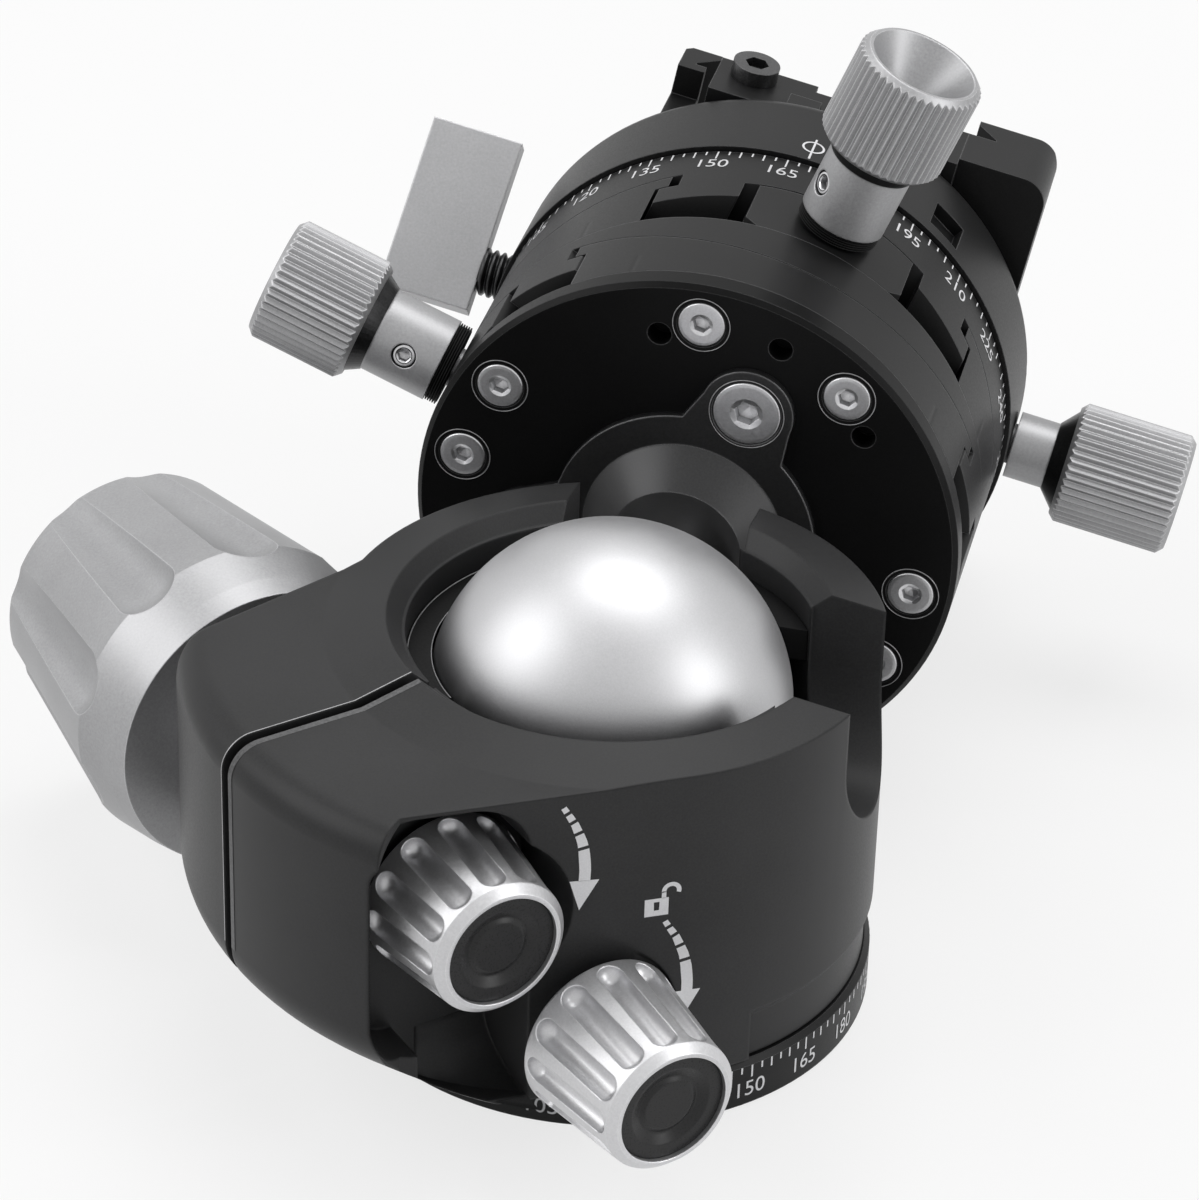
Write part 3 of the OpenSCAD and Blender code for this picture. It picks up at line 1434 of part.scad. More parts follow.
module paddle() color([0.68, 0.68, 0.69]) {
    clamp_frame() translate([0, 0, screw_level]) rotate([0, -90, 0]) rotate([0, 0, paddle_turn])
        difference() {
        translate([-paddle_tail, -paddle_t / 2, paddle_start]) cube([paddle_len, paddle_t, paddle_w]);
        translate([0, 0, paddle_start - over]) cylinder(r = paddle_rod_r + screw_fit, h = paddle_w);
    }
}

base_plate();
thread_bush();
retaining_flange();
retaining_screws();
housing();
lower_cup();
collet_ring();
clamp_bolt();
thrust_sleeve();
main_knob();
main_cap();
drag_screw();
drag_knob();
drag_cap();
pan_screw();
pan_knob();
pan_cap();
pan_plunger();
ball();
stem();
flange_screws();
head_plate();
plate_screws();
lower_guides();
lower_worm_block();
lower_worm();
lower_washer();
lower_collar();
lower_grip();
lower_set_screw();
lower_carriage();
lower_rack();
upper_guides();
upper_worm_block();
upper_worm();
upper_washer();
upper_collar();
upper_grip();
upper_set_screw();
upper_carriage();
upper_rack();
keeper_ring();
keeper_screws();
turntable();
lock_screw();
lock_grip();
lock_pad();
clamp_body();
clamp_key();
stop_screws();
fixed_jaw();
moving_jaw();
jaw_pins();
clamp_bolts();
jaw_screw();
paddle();
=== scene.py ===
import math

import bmesh
import bpy
from mathutils import Matrix, Vector


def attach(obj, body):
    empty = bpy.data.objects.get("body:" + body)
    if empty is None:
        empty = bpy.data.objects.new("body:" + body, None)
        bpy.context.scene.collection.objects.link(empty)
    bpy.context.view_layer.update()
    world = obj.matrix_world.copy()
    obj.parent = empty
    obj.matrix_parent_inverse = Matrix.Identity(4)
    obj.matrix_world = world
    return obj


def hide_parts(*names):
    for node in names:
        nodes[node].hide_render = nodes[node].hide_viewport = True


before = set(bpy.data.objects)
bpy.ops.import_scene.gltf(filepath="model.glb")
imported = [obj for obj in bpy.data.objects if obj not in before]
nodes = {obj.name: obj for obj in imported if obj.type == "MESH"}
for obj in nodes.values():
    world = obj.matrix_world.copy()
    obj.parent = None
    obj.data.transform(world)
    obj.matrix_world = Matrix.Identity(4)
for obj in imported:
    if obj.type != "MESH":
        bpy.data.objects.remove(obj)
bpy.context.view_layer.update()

MM = 0.001

# Sizes shared with the solids, in millimetres, and directions in degrees
BALL_Z = 35.1
BASE_R = 30.0
HOUSING_R = 30.0
HEAD_R = 32.0
TURN_R = 32.6
SCALE_TOP = 71.0
SCREW_LEVEL = 79.4
HEAD_PHI = 68.0
CLAMP_PHI = -11.0


# Node materials

FINE_GRAIN, BLAST_GRAIN, SLOW_DRIFT, GRAIN_SHARE = 4200.0, 3600.0, 60.0, 0.6
GRAIN_DEPTH, SHADER_SAMPLES = 0.05, 6
# Colour of the painted shade that ambient occlusion mixes into hollows and corners
PAINTED_SHADE_COLOUR = (0.006, 0.006, 0.007, 1)


def new_material(name):
    m = bpy.data.materials.new(name)
    m.use_nodes = True
    tree = m.node_tree
    tree.nodes.clear()
    out = tree.nodes.new("ShaderNodeOutputMaterial")
    shader = tree.nodes.new("ShaderNodeBsdfPrincipled")
    tree.links.new(shader.outputs["BSDF"], out.inputs["Surface"])
    return m, tree, shader


def noise(tree, vector, scale, detail=2.0, rough=0.5):
    n = tree.nodes.new("ShaderNodeTexNoise")
    n.inputs["Scale"].default_value = scale
    n.inputs["Detail"].default_value = detail
    n.inputs["Roughness"].default_value = rough
    tree.links.new(vector, n.inputs["Vector"])
    return n


def spread(tree, source, low, high, at=(0.35, 0.65)):
    r = tree.nodes.new("ShaderNodeMapRange")
    r.inputs["From Min"].default_value = at[0]
    r.inputs["From Max"].default_value = at[1]
    r.inputs["To Min"].default_value = low
    r.inputs["To Max"].default_value = high
    tree.links.new(source, r.inputs["Value"])
    return r.outputs["Result"]


def tint(tree, source, dark, light, at=(0.3, 0.7)):
    r = tree.nodes.new("ShaderNodeValToRGB")
    r.color_ramp.elements[0].position = at[0]
    r.color_ramp.elements[1].position = at[1]
    r.color_ramp.elements[0].color = (*dark, 1)
    r.color_ramp.elements[1].color = (*light, 1)
    tree.links.new(source, r.inputs["Fac"])
    return r.outputs["Color"]


def surface(name, tones, metallic, rough, grain=FINE_GRAIN, bump=0.05, edge=0.25, specular=0.5, crevice_shade=0.45,
            reach=2.5, shine=None):
    """A blasted or anodised surface: fine grain, a slow drift, softened edges, painted shade in hollows and corners
    from ambient occlusion, and a painted highlight line along edges when shine is given.
    """
    m, tree, s = new_material(name)
    s.inputs["Metallic"].default_value = metallic
    s.inputs["Specular IOR Level"].default_value = specular
    where = tree.nodes.new("ShaderNodeTexCoord").outputs["Object"]
    fine = noise(tree, where, grain, 2.0, 0.6)
    slow = noise(tree, where, SLOW_DRIFT, 3.0, 0.5)
    mix = tree.nodes.new("ShaderNodeMath")
    mix.operation = "MULTIPLY_ADD"
    mix.inputs[1].default_value = GRAIN_SHARE
    tree.links.new(fine.outputs["Fac"], mix.inputs[0])
    tree.links.new(spread(tree, slow.outputs["Fac"], 0.12, 0.28), mix.inputs[2])
    colour = tint(tree, mix.outputs["Value"], grey(tones[0]), grey(tones[1]), (0.3, 0.7))
    # Painted shade: ambient occlusion within reach darkens hollows and corners towards the painted shade colour
    hollow = tree.nodes.new("ShaderNodeAmbientOcclusion")
    hollow.samples = SHADER_SAMPLES
    hollow.inputs["Distance"].default_value = reach * MM
    tree.links.new(colour, hollow.inputs["Color"])
    shade = tree.nodes.new("ShaderNodeMix")
    shade.data_type = "RGBA"
    tree.links.new(spread(tree, hollow.outputs["AO"], crevice_shade, 0.0, (0.15, 0.85)), shade.inputs["Factor"])
    tree.links.new(colour, shade.inputs["A"])
    shade.inputs["B"].default_value = PAINTED_SHADE_COLOUR
    tree.links.new(spread(tree, fine.outputs["Fac"], rough[0], rough[1]), s.inputs["Roughness"])
    bevel = tree.nodes.new("ShaderNodeBevel")
    bevel.samples = SHADER_SAMPLES
    bevel.inputs["Radius"].default_value = edge * MM
    # Painted highlight: with shine, a lighter line is painted along softened edges
    if shine is None:
        tree.links.new(shade.outputs["Result"], s.inputs["Base Color"])
    else:
        tree.links.new(worn_edges(tree, bevel, shade.outputs["Result"], shine), s.inputs["Base Color"])
    relief = tree.nodes.new("ShaderNodeBump")
    relief.inputs["Strength"].default_value = bump
    relief.inputs["Distance"].default_value = GRAIN_DEPTH * MM
    tree.links.new(fine.outputs["Fac"], relief.inputs["Height"])
    tree.links.new(bevel.outputs["Normal"], relief.inputs["Normal"])
    tree.links.new(relief.outputs["Normal"], s.inputs["Normal"])
    return m


def worn_edges(tree, bevel, colour, shine):
    """The colour, with a painted highlight: a lighter line where the softened normal leaves the true one."""
    true = tree.nodes.new("ShaderNodeNewGeometry").outputs["Normal"]
    dot = tree.nodes.new("ShaderNodeVectorMath")
    dot.operation = "DOT_PRODUCT"
    tree.links.new(bevel.outputs["Normal"], dot.inputs[0])
    tree.links.new(true, dot.inputs[1])
    mix = tree.nodes.new("ShaderNodeMix")
    mix.data_type = "RGBA"
    tree.links.new(spread(tree, dot.outputs["Value"], 1.0, 0.0, (0.86, 0.97)), mix.inputs["Factor"])
    tree.links.new(colour, mix.inputs["A"])
    mix.inputs["B"].default_value = (*grey(shine), 1)
    return mix.outputs["Result"]


def grey(v):
    """A neutral grey with a trace of blue; a tuple is a colour already."""
    return v if isinstance(v, tuple) else (v, v, v * 1.02)


# Anodised and blasted metals
# In these calls crevice sets how dark the painted shade in hollows gets, reach how far it looks, and shine the grey of
# the painted edge highlight
BLACK = surface("black_anodised", (0.009, 0.015), 0.0, (0.34, 0.42), edge=0.22, specular=0.15, shine=0.12)
HOUSE = surface("housing_black", (0.027, 0.040), 0.0, (0.36, 0.44), bump=0.06, edge=0.45, specular=0.15)
PLATE = surface("plate_black", (0.005, 0.009), 0.0, (0.30, 0.38), edge=0.22, specular=0.08, shine=0.10)
SILVER = surface("silver_blasted", (0.30, 0.41), 0.7, (0.40, 0.48), BLAST_GRAIN, 0.08,
                 crevice_shade=0.9, reach=1.3, shine=0.66)
KNOB = surface("knob_silver", (0.54, 0.66), 0.75, (0.36, 0.42), BLAST_GRAIN, 0.03,
               edge=0.22, crevice_shade=0.6, reach=1.4, shine=0.80)
BALL = surface("ball_satin", (0.42, 0.50), 1.0, (0.44, 0.50), 5200.0, edge=0.2, crevice_shade=0.8, reach=8.0)
STEM = surface("stem_grey", (0.030, 0.045), 0.5, (0.32, 0.40), edge=0.35, specular=0.4,
               crevice_shade=0.6, reach=4.0, shine=0.14)
PADDLE = surface("paddle_grey", (0.38, 0.48), 0.45, (0.42, 0.50), BLAST_GRAIN, 0.08, edge=0.35, shine=0.70)
# Linings, caps and small parts
LINER = surface("liner", (0.004, 0.010), 0.0, (0.45, 0.6), 3000.0, 0.1, edge=0.2, specular=0.12)
CAP = surface("cap_black", (0.014, 0.020), 0.0, (0.26, 0.34), bump=0.03, edge=0.35, specular=0.24)
BRASS = surface("brass", ((0.45, 0.30, 0.10), (0.62, 0.45, 0.18)), 1.0, (0.3, 0.42), bump=0.1, edge=0.15)
STEEL = surface("steel", (0.55, 0.70), 1.0, (0.32, 0.40), bump=0.04, edge=0.10, crevice_shade=0.9, reach=1.0)
GUNMETAL = surface("gunmetal", (0.06, 0.12), 0.9, (0.28, 0.38), edge=0.12)
# Dark steel of screws and threads; also the painted dark reflection on the knob cones
DARK_STEEL_AND_DARK_REFLECTION = surface("dark_steel", (0.03, 0.06), 0.9, (0.28, 0.40), bump=0.06, edge=0.1)
SAWN = surface("sawn_grey", (0.05, 0.16), 0.3, (0.5, 0.6), 2600.0, 0.4, edge=0.05, specular=0.3, crevice_shade=0.2)
# Grey of thin bright lines that stand as painted highlights on edges and rims
EDGE_HIGHLIGHT = surface("bright_edge", (0.30, 0.44), 0.4, (0.3, 0.4), BLAST_GRAIN, 0.03,
               edge=0.05, specular=0.4, crevice_shade=0.0)
PRINT = surface("print_white", (0.70, 0.80), 0.0, (0.5, 0.62), 5200.0, 0.03, edge=0.02, specular=0.1, crevice_shade=0.0)

LOOKS = {
    BLACK: ["base_plate", "lower_guides", "lower_worm_block", "lower_carriage", "upper_guides",
            "upper_worm_block", "upper_carriage", "turntable", "clamp_body", "clamp_key", "fixed_jaw", "moving_jaw"],
    PLATE: ["head_plate"],
    HOUSE: ["housing"],
    SILVER: ["thrust_sleeve", "main_knob", "main_cap", "lower_collar", "lower_grip", "upper_collar",
             "upper_grip", "lock_screw", "lock_grip"],
    KNOB: ["drag_knob", "pan_knob"],
    BALL: ["ball"],
    STEM: ["stem"],
    PADDLE: ["paddle"],
    LINER: ["lower_cup", "collet_ring", "lower_washer", "upper_washer"],
    CAP: ["drag_cap", "pan_cap"],
    BRASS: ["pan_plunger", "lock_pad", "lower_rack", "upper_rack"],
    STEEL: ["thread_bush", "retaining_flange", "clamp_bolt", "drag_screw", "pan_screw", "flange_screws",
            "plate_screws", "lower_worm", "upper_worm", "keeper_ring", "jaw_pins", "clamp_bolts",
            "lower_set_screw", "upper_set_screw"],
    DARK_STEEL_AND_DARK_REFLECTION: ["retaining_screws", "keeper_screws", "jaw_screw"],
    GUNMETAL: ["stop_screws"],
}
for material, names in LOOKS.items():
    for n in names:
        for s in nodes[n].material_slots:
            s.material = material


# Mesh helpers

def piece(name, verts, faces, material, body, smooth=False):
    """A mesh in millimetres, riding on a body."""
    mesh = bpy.data.meshes.new(name)
    mesh.from_pydata([[c * MM for c in v] for v in verts], [], faces)
    mesh.validate()
    o = bpy.data.objects.new(name, mesh)
    bpy.context.scene.collection.objects.link(o)
    mesh.materials.append(material)
    if smooth:
        mesh.polygons.foreach_set("use_smooth", [True] * len(mesh.polygons))
    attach(o, body)
    return o


def on_stem(phi, along, r):
    a = math.radians(phi)
    return (r * math.cos(a), along, BALL_Z + r * math.sin(a))


def on_pan(az, z, r):
    a = math.radians(az)
    return (r * math.cos(a), r * math.sin(a), z)


class Print:
    """Flat print laid on a cylinder. A point is (x, y) in millimetres, x along the way that text runs."""

    def __init__(self, place):
        self.place = place
        self.verts, self.faces = [], []

    def polygon(self, points):
        start = len(self.verts)
        self.verts += [self.place(x, y) for x, y in points]
        self.faces.append(tuple(range(start, start + len(points))))

    def box(self, x0, x1, y0, y1):
        self.polygon([(x0, y0), (x1, y0), (x1, y1), (x0, y1)])

    def strip(self, left, right):
        for i in range(len(left) - 1):
            self.polygon([left[i], right[i], right[i + 1], left[i + 1]])

    def arc(self, centre, r, width, a0, a1, steps=24):
        inner, outer = [], []
        for i in range(steps + 1):
            a = math.radians(a0 + (a1 - a0) * i / steps)
            for side, rr in ((outer, r + width / 2), (inner, r - width / 2)):
                side.append((centre[0] + rr * math.cos(a), centre[1] + rr * math.sin(a)))
        self.strip(inner, outer)

    def text(self, words, x, y, height):
        for px, faces in glyphs(words, height):
            start = len(self.verts)
            self.verts += [self.place(x + a, y + b) for a, b in px]
            self.faces += [tuple(start + i for i in f) for f in faces]

    def done(self, name, body):
        return piece(name, self.verts, self.faces, PRINT, body)


def glyphs(words, height):
    """Digits as flat meshes, centred on the origin, with the given height in millimetres."""
    curve = bpy.data.curves.new("digits", "FONT")
    curve.body = words
    curve.resolution_u = 6
    curve.align_x = "CENTER"
    o = bpy.data.objects.new("digits", curve)
    bpy.context.scene.collection.objects.link(o)
    bpy.context.view_layer.update()
    mesh = o.evaluated_get(bpy.context.evaluated_depsgraph_get()).to_mesh()
    pts = [(v.co.x, v.co.y) for v in mesh.vertices]
    faces = [tuple(p.vertices) for p in mesh.polygons]
    o.to_mesh_clear()
    bpy.data.objects.remove(o)
    bpy.data.curves.remove(curve)
    lo, hi = min(p[1] for p in pts), max(p[1] for p in pts)
    left, right = min(p[0] for p in pts), max(p[0] for p in pts)
    k = height / (hi - lo)
    return [([((a - (left + right) / 2) * k, (b - (lo + hi) / 2) * k) for a, b in pts], faces)]


# Degree scales of the panning base and under the turntable

RAISE = 0.03
STEP, LONG_EVERY, MID_EVERY, DIGIT_H = 2.5, 6, 2, 1.95
BASE_ZERO, BASE_TICK_HALF, BASE_TICK_TOP, BASE_TICK_LOWS, BASE_DIGITS_AT = -194.0, 0.11, 5.1, (3.5, 3.9, 4.25), 2.1
RING_TICK_HALF, RING_TICK_GAP, RING_TICK_DROPS, RING_DIGITS_DROP = 0.1, 0.12, (1.95, 1.55, 0.95), 3.15


def degree_scale(name, body, place, centre, half, lows, top, digits_at):
    """Ticks every few degrees, with the value under each long one; centre gives a value's place along the text."""
    scale = Print(place)
    for i in range(int(360 / STEP)):
        x = centre(i * STEP)
        long_one = i % LONG_EVERY == 0
        mid_one = i % MID_EVERY == 0
        scale.box(x - half, x + half, lows[0 if long_one else (1 if mid_one else 2)], top)
        if long_one:
            scale.text(str(int(i * STEP)), x, digits_at, DIGIT_H)
    scale.done(name, body)


def base_place(x, y):
    return on_pan(math.degrees(x / BASE_R), y, BASE_R + RAISE)


def base_centre(value):
    return math.radians(value + BASE_ZERO) * BASE_R


def ring_place(x, y):
    return on_stem(-math.degrees(x / HEAD_R), y, HEAD_R + RAISE)


def ring_centre(value):
    return -math.radians(180.0 + HEAD_PHI - value) * HEAD_R


degree_scale("base_scale_print", "base", base_place, base_centre, BASE_TICK_HALF, BASE_TICK_LOWS,
             BASE_TICK_TOP, BASE_DIGITS_AT)
degree_scale("ring_scale_print", "upper_carriage", ring_place, ring_centre, RING_TICK_HALF,
             [SCALE_TOP - drop for drop in RING_TICK_DROPS], SCALE_TOP - RING_TICK_GAP, SCALE_TOP - RING_DIGITS_DROP)


# Index mark of the turntable

MARK_PHI, MARK_LEVEL, MARK_R, MARK_LINE, BAR_HALF, BAR_LOW, BAR_TOP = 79.0, 74.5, 1.25, 0.28, 0.13, 71.5, 76.6


def turn_place(x, y):
    return on_stem(-math.degrees(x / TURN_R), y, TURN_R + RAISE)


mark = Print(turn_place)
mark_x = -math.radians(MARK_PHI) * TURN_R
mark.arc((mark_x, MARK_LEVEL), MARK_R, MARK_LINE, 0, 360, 40)
mark.box(mark_x - BAR_HALF, mark_x + BAR_HALF, BAR_LOW, BAR_TOP)
mark.done("index_print", "turntable")


# Signs on the housing: two curved arrows with dashed tails and an open padlock

# The front wall is a cylinder up to this direction, and a flat side of the lug beyond it
WALL_TURN = math.radians(-61.0)
WALL_START = WALL_TURN * HOUSING_R


def house_place(x, y):
    r = HOUSING_R + RAISE
    if x > WALL_START:
        return on_pan(math.degrees(x / HOUSING_R), y, r)
    along = x - WALL_START
    ca, sa = math.cos(WALL_TURN), math.sin(WALL_TURN)
    return (r * ca - along * sa, r * sa + along * ca, y)


def along_line(line, t):
    """The point at a share t of a line's length, and the way it runs there."""
    lengths = [math.dist(a, b) for a, b in zip(line, line[1:])]
    left = t * sum(lengths)
    for (a, b), size in zip(zip(line, line[1:]), lengths):
        if left <= size or b == line[-1]:
            k, dx, dy = left / size, b[0] - a[0], b[1] - a[1]
            return (a[0] + dx * k, a[1] + dy * k), (dx / size, dy / size)
        left -= size


# Shares of the arrow's length that its dashes take, its least and greatest width, and where it is full wide
DASHES = [(0.0, 0.07), (0.11, 0.20), (0.24, 0.36), (0.40, 0.56), (0.60, 1.0)]
THIN, THICK, FULL_AT, DASH_STEPS = 0.62, 1.25, 0.7, 6


def curved_arrow(sign, line, head, tip):
    """An arrow along a bowed line, its tail cut into dashes that widen towards its head."""
    for a, b in DASHES:
        left, right = [], []
        for i in range(DASH_STEPS + 1):
            t = a + (b - a) * i / DASH_STEPS
            (px, py), (dx, dy) = along_line(line, t)
            w = (THIN + (THICK - THIN) * min(1.0, t / FULL_AT)) / 2
            left.append((px + dy * w, py - dx * w))
            right.append((px - dy * w, py + dx * w))
        sign.strip(left, right)
    sign.polygon([head[0], head[1], tip])


# The arrows' middle lines, given along the wall, with the corners of their heads
UPPER_LINE = [(-45.4, 43.15), (-44.7, 41.9), (-44.15, 40.85), (-43.65, 39.5), (-43.35, 38.6),
              (-43.15, 37.55), (-43.0, 36.0), (-42.95, 35.0), (-43.0, 33.6)]
UPPER_HEAD, UPPER_TIP = [(-44.6, 33.8), (-41.4, 33.6)], (-43.5, 30.0)
LOWER_LINE = [(-34.1, 27.0), (-33.55, 26.0), (-32.85, 24.85), (-32.3, 23.45), (-31.9, 22.35),
              (-31.6, 20.85), (-31.4, 18.85), (-31.4, 17.4)]
LOWER_HEAD, LOWER_TIP = [(-33.1, 17.55), (-29.9, 17.5)], (-31.35, 14.85)
# The padlock's body, its keyhole's half widths and levels, and its shackle
LOCK_L, LOCK_R, LOCK_LOW, LOCK_TOP, LOCK_MID = -36.4, -33.8, 27.85, 30.05, -35.1
HOLE_TOP_HALF, HOLE_MID_HALF, HOLE_LOW_HALF, HOLE_TOP, HOLE_LOW = 0.32, 0.27, 0.26, 29.6, 28.55
SHACKLE_MID, SHACKLE_R, SHACKLE_LINE, SHACKLE_LEG, LEG_SINK = (-33.52, 30.85), 0.82, 0.5, (-34.58, -34.08), 0.05


def padlock(sign):
    """An open padlock: the body in four strips round its keyhole, and a shackle on one leg."""
    left, right = LOCK_MID - HOLE_TOP_HALF, LOCK_MID + HOLE_TOP_HALF
    low_left, low_right = LOCK_MID - HOLE_LOW_HALF, LOCK_MID + HOLE_LOW_HALF
    mid_left, mid_right = LOCK_MID - HOLE_MID_HALF, LOCK_MID + HOLE_MID_HALF
    sign.strip([(LOCK_L, LOCK_TOP), (LOCK_L, LOCK_LOW)], [(left, LOCK_TOP), (low_left, LOCK_LOW)])
    sign.strip([(right, LOCK_TOP), (low_right, LOCK_LOW)], [(LOCK_R, LOCK_TOP), (LOCK_R, LOCK_LOW)])
    sign.strip([(left, LOCK_TOP), (left, HOLE_TOP)], [(right, LOCK_TOP), (right, HOLE_TOP)])
    sign.strip([(mid_left, HOLE_LOW), (low_left, LOCK_LOW)], [(mid_right, HOLE_LOW), (low_right, LOCK_LOW)])
    sign.arc(SHACKLE_MID, SHACKLE_R, SHACKLE_LINE, 190, -20, 20)
    sign.box(*SHACKLE_LEG, LOCK_TOP - LEG_SINK, SHACKLE_MID[1])


signs = Print(house_place)
curved_arrow(signs, UPPER_LINE, UPPER_HEAD, UPPER_TIP)
curved_arrow(signs, LOWER_LINE, LOWER_HEAD, LOWER_TIP)
padlock(signs)
signs.done("housing_signs", "housing")


# Clamp screw: a real thread between the jaw and the paddle

def along_clamp(s, x, y):
    """A point s out along the clamp screw, x along the stem and y across it."""
    a = math.radians(CLAMP_PHI + 180)
    out = (math.cos(a), 0, math.sin(a))
    side = (-math.sin(a), 0, math.cos(a))
    return (out[0] * s + side[0] * y, SCREW_LEVEL + x, BALL_Z + out[2] * s + side[2] * y)


THREAD_PITCH, THREAD_DEEP, FLANK, RINGS_A_TURN = 1.0, 0.55, 1.35, 12


def threaded_rod(name, s0, s1, r, pitch, deep, body):
    """A rod with a helical thread; its profile repeats once a turn."""
    around, verts, faces = 48, [], []
    steps = int((s1 - s0) / pitch * RINGS_A_TURN)
    for i in range(steps + 1):
        s = s0 + (s1 - s0) * i / steps
        for k in range(around):
            a = 2 * math.pi * k / around
            p = ((s / pitch) - k / around) % 1.0
            rr = r - deep * min(1.0, max(0.0, 1.0 - abs(2 * p - 1) * FLANK))
            if i in (0, steps):
                rr = r - deep
            verts.append(along_clamp(s, rr * math.cos(a), rr * math.sin(a)))
    for i in range(steps):
        for k in range(around):
            j = (k + 1) % around
            faces.append((i * around + k, i * around + j, (i + 1) * around + j, (i + 1) * around + k))
    faces.append(tuple(range(around)))
    faces.append(tuple(steps * around + k for k in reversed(range(around))))
    return piece(name, verts, faces, DARK_STEEL_AND_DARK_REFLECTION, body, True)


JAW_OUT, PADDLE_START, CLAMP_SCREW_R = 20.5, 36.1, 3.0
rod = threaded_rod("clamp_thread", JAW_OUT, PADDLE_START, CLAMP_SCREW_R, THREAD_PITCH, THREAD_DEEP, "jaw_screw")
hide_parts("jaw_screw")


# Flat-headed screws: a bevelled rim, a flat face and a hex socket

ROUND_STEPS, RIM_DEEP, RIM_BEVEL, FACE_INSET, FACE_RISE = 48, 0.5, (0.16, 0.14), 0.5, 0.03
SOCKET_MOUTH, MOUTH_DEEP, DRILL_POINT = 1.28, 0.12, 0.25


def frame_of(axis):
    z = Vector(axis).normalized()
    x = z.orthogonal().normalized()
    return x, z.cross(x), z


def screw_heads(name, places, axis, head_r, socket_r, deep, body, node):
    """Screw heads that look along axis, each at its place on the face that it is let into."""
    x, y, z = frame_of(axis)
    around, verts, faces = ROUND_STEPS, [], []
    rings = [(head_r, -RIM_DEEP), (head_r, -RIM_BEVEL[1]), (head_r - RIM_BEVEL[0], 0.0),
             (head_r - FACE_INSET, FACE_RISE), (socket_r * SOCKET_MOUTH, FACE_RISE)]
    for place in places:
        c = Vector(place)
        start = len(verts)
        for r, h in rings:
            for k in range(around):
                a = 2 * math.pi * k / around
                verts.append(c + x * (r * math.cos(a)) + y * (r * math.sin(a)) + z * h)
        for h in (-MOUTH_DEEP, -deep):
            for k in range(around):
                a = 2 * math.pi * k / around
                r = socket_r * math.cos(math.pi / 6) / math.cos(a % (math.pi / 3) - math.pi / 6)
                verts.append(c + x * (r * math.cos(a)) + y * (r * math.sin(a)) + z * h)
        verts.append(c - z * (deep + DRILL_POINT))
        for i in range(len(rings) + 1):
            for k in range(around):
                j = (k + 1) % around
                a, b = start + i * around, start + (i + 1) * around
                faces.append((a + k, a + j, b + j, b + k))
        last = start + (len(rings) + 1) * around
        for k in range(around):
            faces.append((last + k, last + (k + 1) % around, len(verts) - 1))
    o = piece(name, verts, faces, STEEL, body)
    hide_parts(node)
    return o


def ring_tube(name, places, axis, r, thick, material, body, start=0.0, end=360.0):
    """Thin rings or arcs round an axis, one at each place."""
    x, y, z = frame_of(axis)
    verts, faces, around, sides = [], [], 64, 6
    whole = end - start >= 360.0
    for place in places:
        c, first = Vector(place), len(verts)
        for i in range(around + (0 if whole else 1)):
            a = math.radians(start + (end - start) * i / around)
            out = x * math.cos(a) + y * math.sin(a)
            for k in range(sides):
                b = 2 * math.pi * k / sides
                verts.append(c + out * (r + thick * math.cos(b)) + z * (thick * math.sin(b)))
        for i in range(around):
            j = (i + 1) % around if whole else i + 1
            for k in range(sides):
                m = (k + 1) % sides
                faces.append(tuple(first + p * sides + q for p, q in ((i, k), (j, k), (j, m), (i, m))))
    return piece(name, verts, faces, material, body, True)


PLATE_L, PLATE_REACH = 36.9, 27.15
FLANGE_FACE, LOBE_REACH = 36.1, 18.3
GUIDE_TURN, BLOCK_TURN, BLOCK_TURN_2 = 19.75, 76.7, 99.4
plate_phis = [HEAD_PHI + base + side * turn for base, turn in
              ((0, GUIDE_TURN), (180, GUIDE_TURN), (0, BLOCK_TURN), (0, BLOCK_TURN_2)) for side in (-1, 1)]
plate_places = [on_stem(phi, PLATE_L, PLATE_REACH) for phi in plate_phis]
lobe_places = [on_stem(HEAD_PHI + 120 * i, FLANGE_FACE, LOBE_REACH) for i in range(3)]
# Head radius, socket radius and socket depth of the small and the large screws, and their countersinks
SMALL_HEAD, SMALL_SOCKET, SMALL_DEEP, SMALL_SINK = 2.75, 1.05, 1.1, 3.3
LARGE_HEAD, LARGE_SOCKET, LARGE_DEEP, LARGE_SINK = 3.95, 1.5, 1.5, 4.32
SINK_LAP, SINK_DROP, SINK_LINE = 0.02, 0.12, 0.06
TO_VIEWER = (0, -1, 0)
screw_heads("plate_screw_heads", plate_places, TO_VIEWER, SMALL_HEAD, SMALL_SOCKET, SMALL_DEEP, "head", "plate_screws")
screw_heads("flange_screw_heads", lobe_places, TO_VIEWER, LARGE_HEAD, LARGE_SOCKET, LARGE_DEEP, "head",
            "flange_screws")


def flat_ring(name, places, axis, inner, outer, lift, material, body):
    """Flat dark rings, the shadow gap between a screw head and its countersink."""
    x, y, z = frame_of(axis)
    verts, faces, around = [], [], ROUND_STEPS
    for place in places:
        c, first = Vector(place), len(verts)
        for k in range(around):
            a = 2 * math.pi * k / around
            out = x * math.cos(a) + y * math.sin(a)
            verts += [c + out * inner + z * (lift - SINK_DROP), c + out * outer + z * lift]
        for k in range(around):
            j = (k + 1) % around
            faces.append((first + 2 * k, first + 2 * j, first + 2 * j + 1, first + 2 * k + 1))
    return piece(name, verts, faces, material, body)


flat_ring("plate_gaps", plate_places, TO_VIEWER, SMALL_HEAD - RAISE, SMALL_SINK - SINK_LAP, RAISE, LINER, "head")
flat_ring("flange_gaps", lobe_places, TO_VIEWER, LARGE_HEAD - RAISE, LARGE_SINK - SINK_LAP, RAISE, LINER, "head")
# Thin bright rings at each countersink's rim: painted highlights
ring_tube("plate_countersink_highlights", plate_places, TO_VIEWER, SMALL_SINK, SINK_LINE, EDGE_HIGHLIGHT, "head")
ring_tube("flange_countersink_highlights", lobe_places, TO_VIEWER, LARGE_SINK, SINK_LINE, EDGE_HIGHLIGHT, "head")
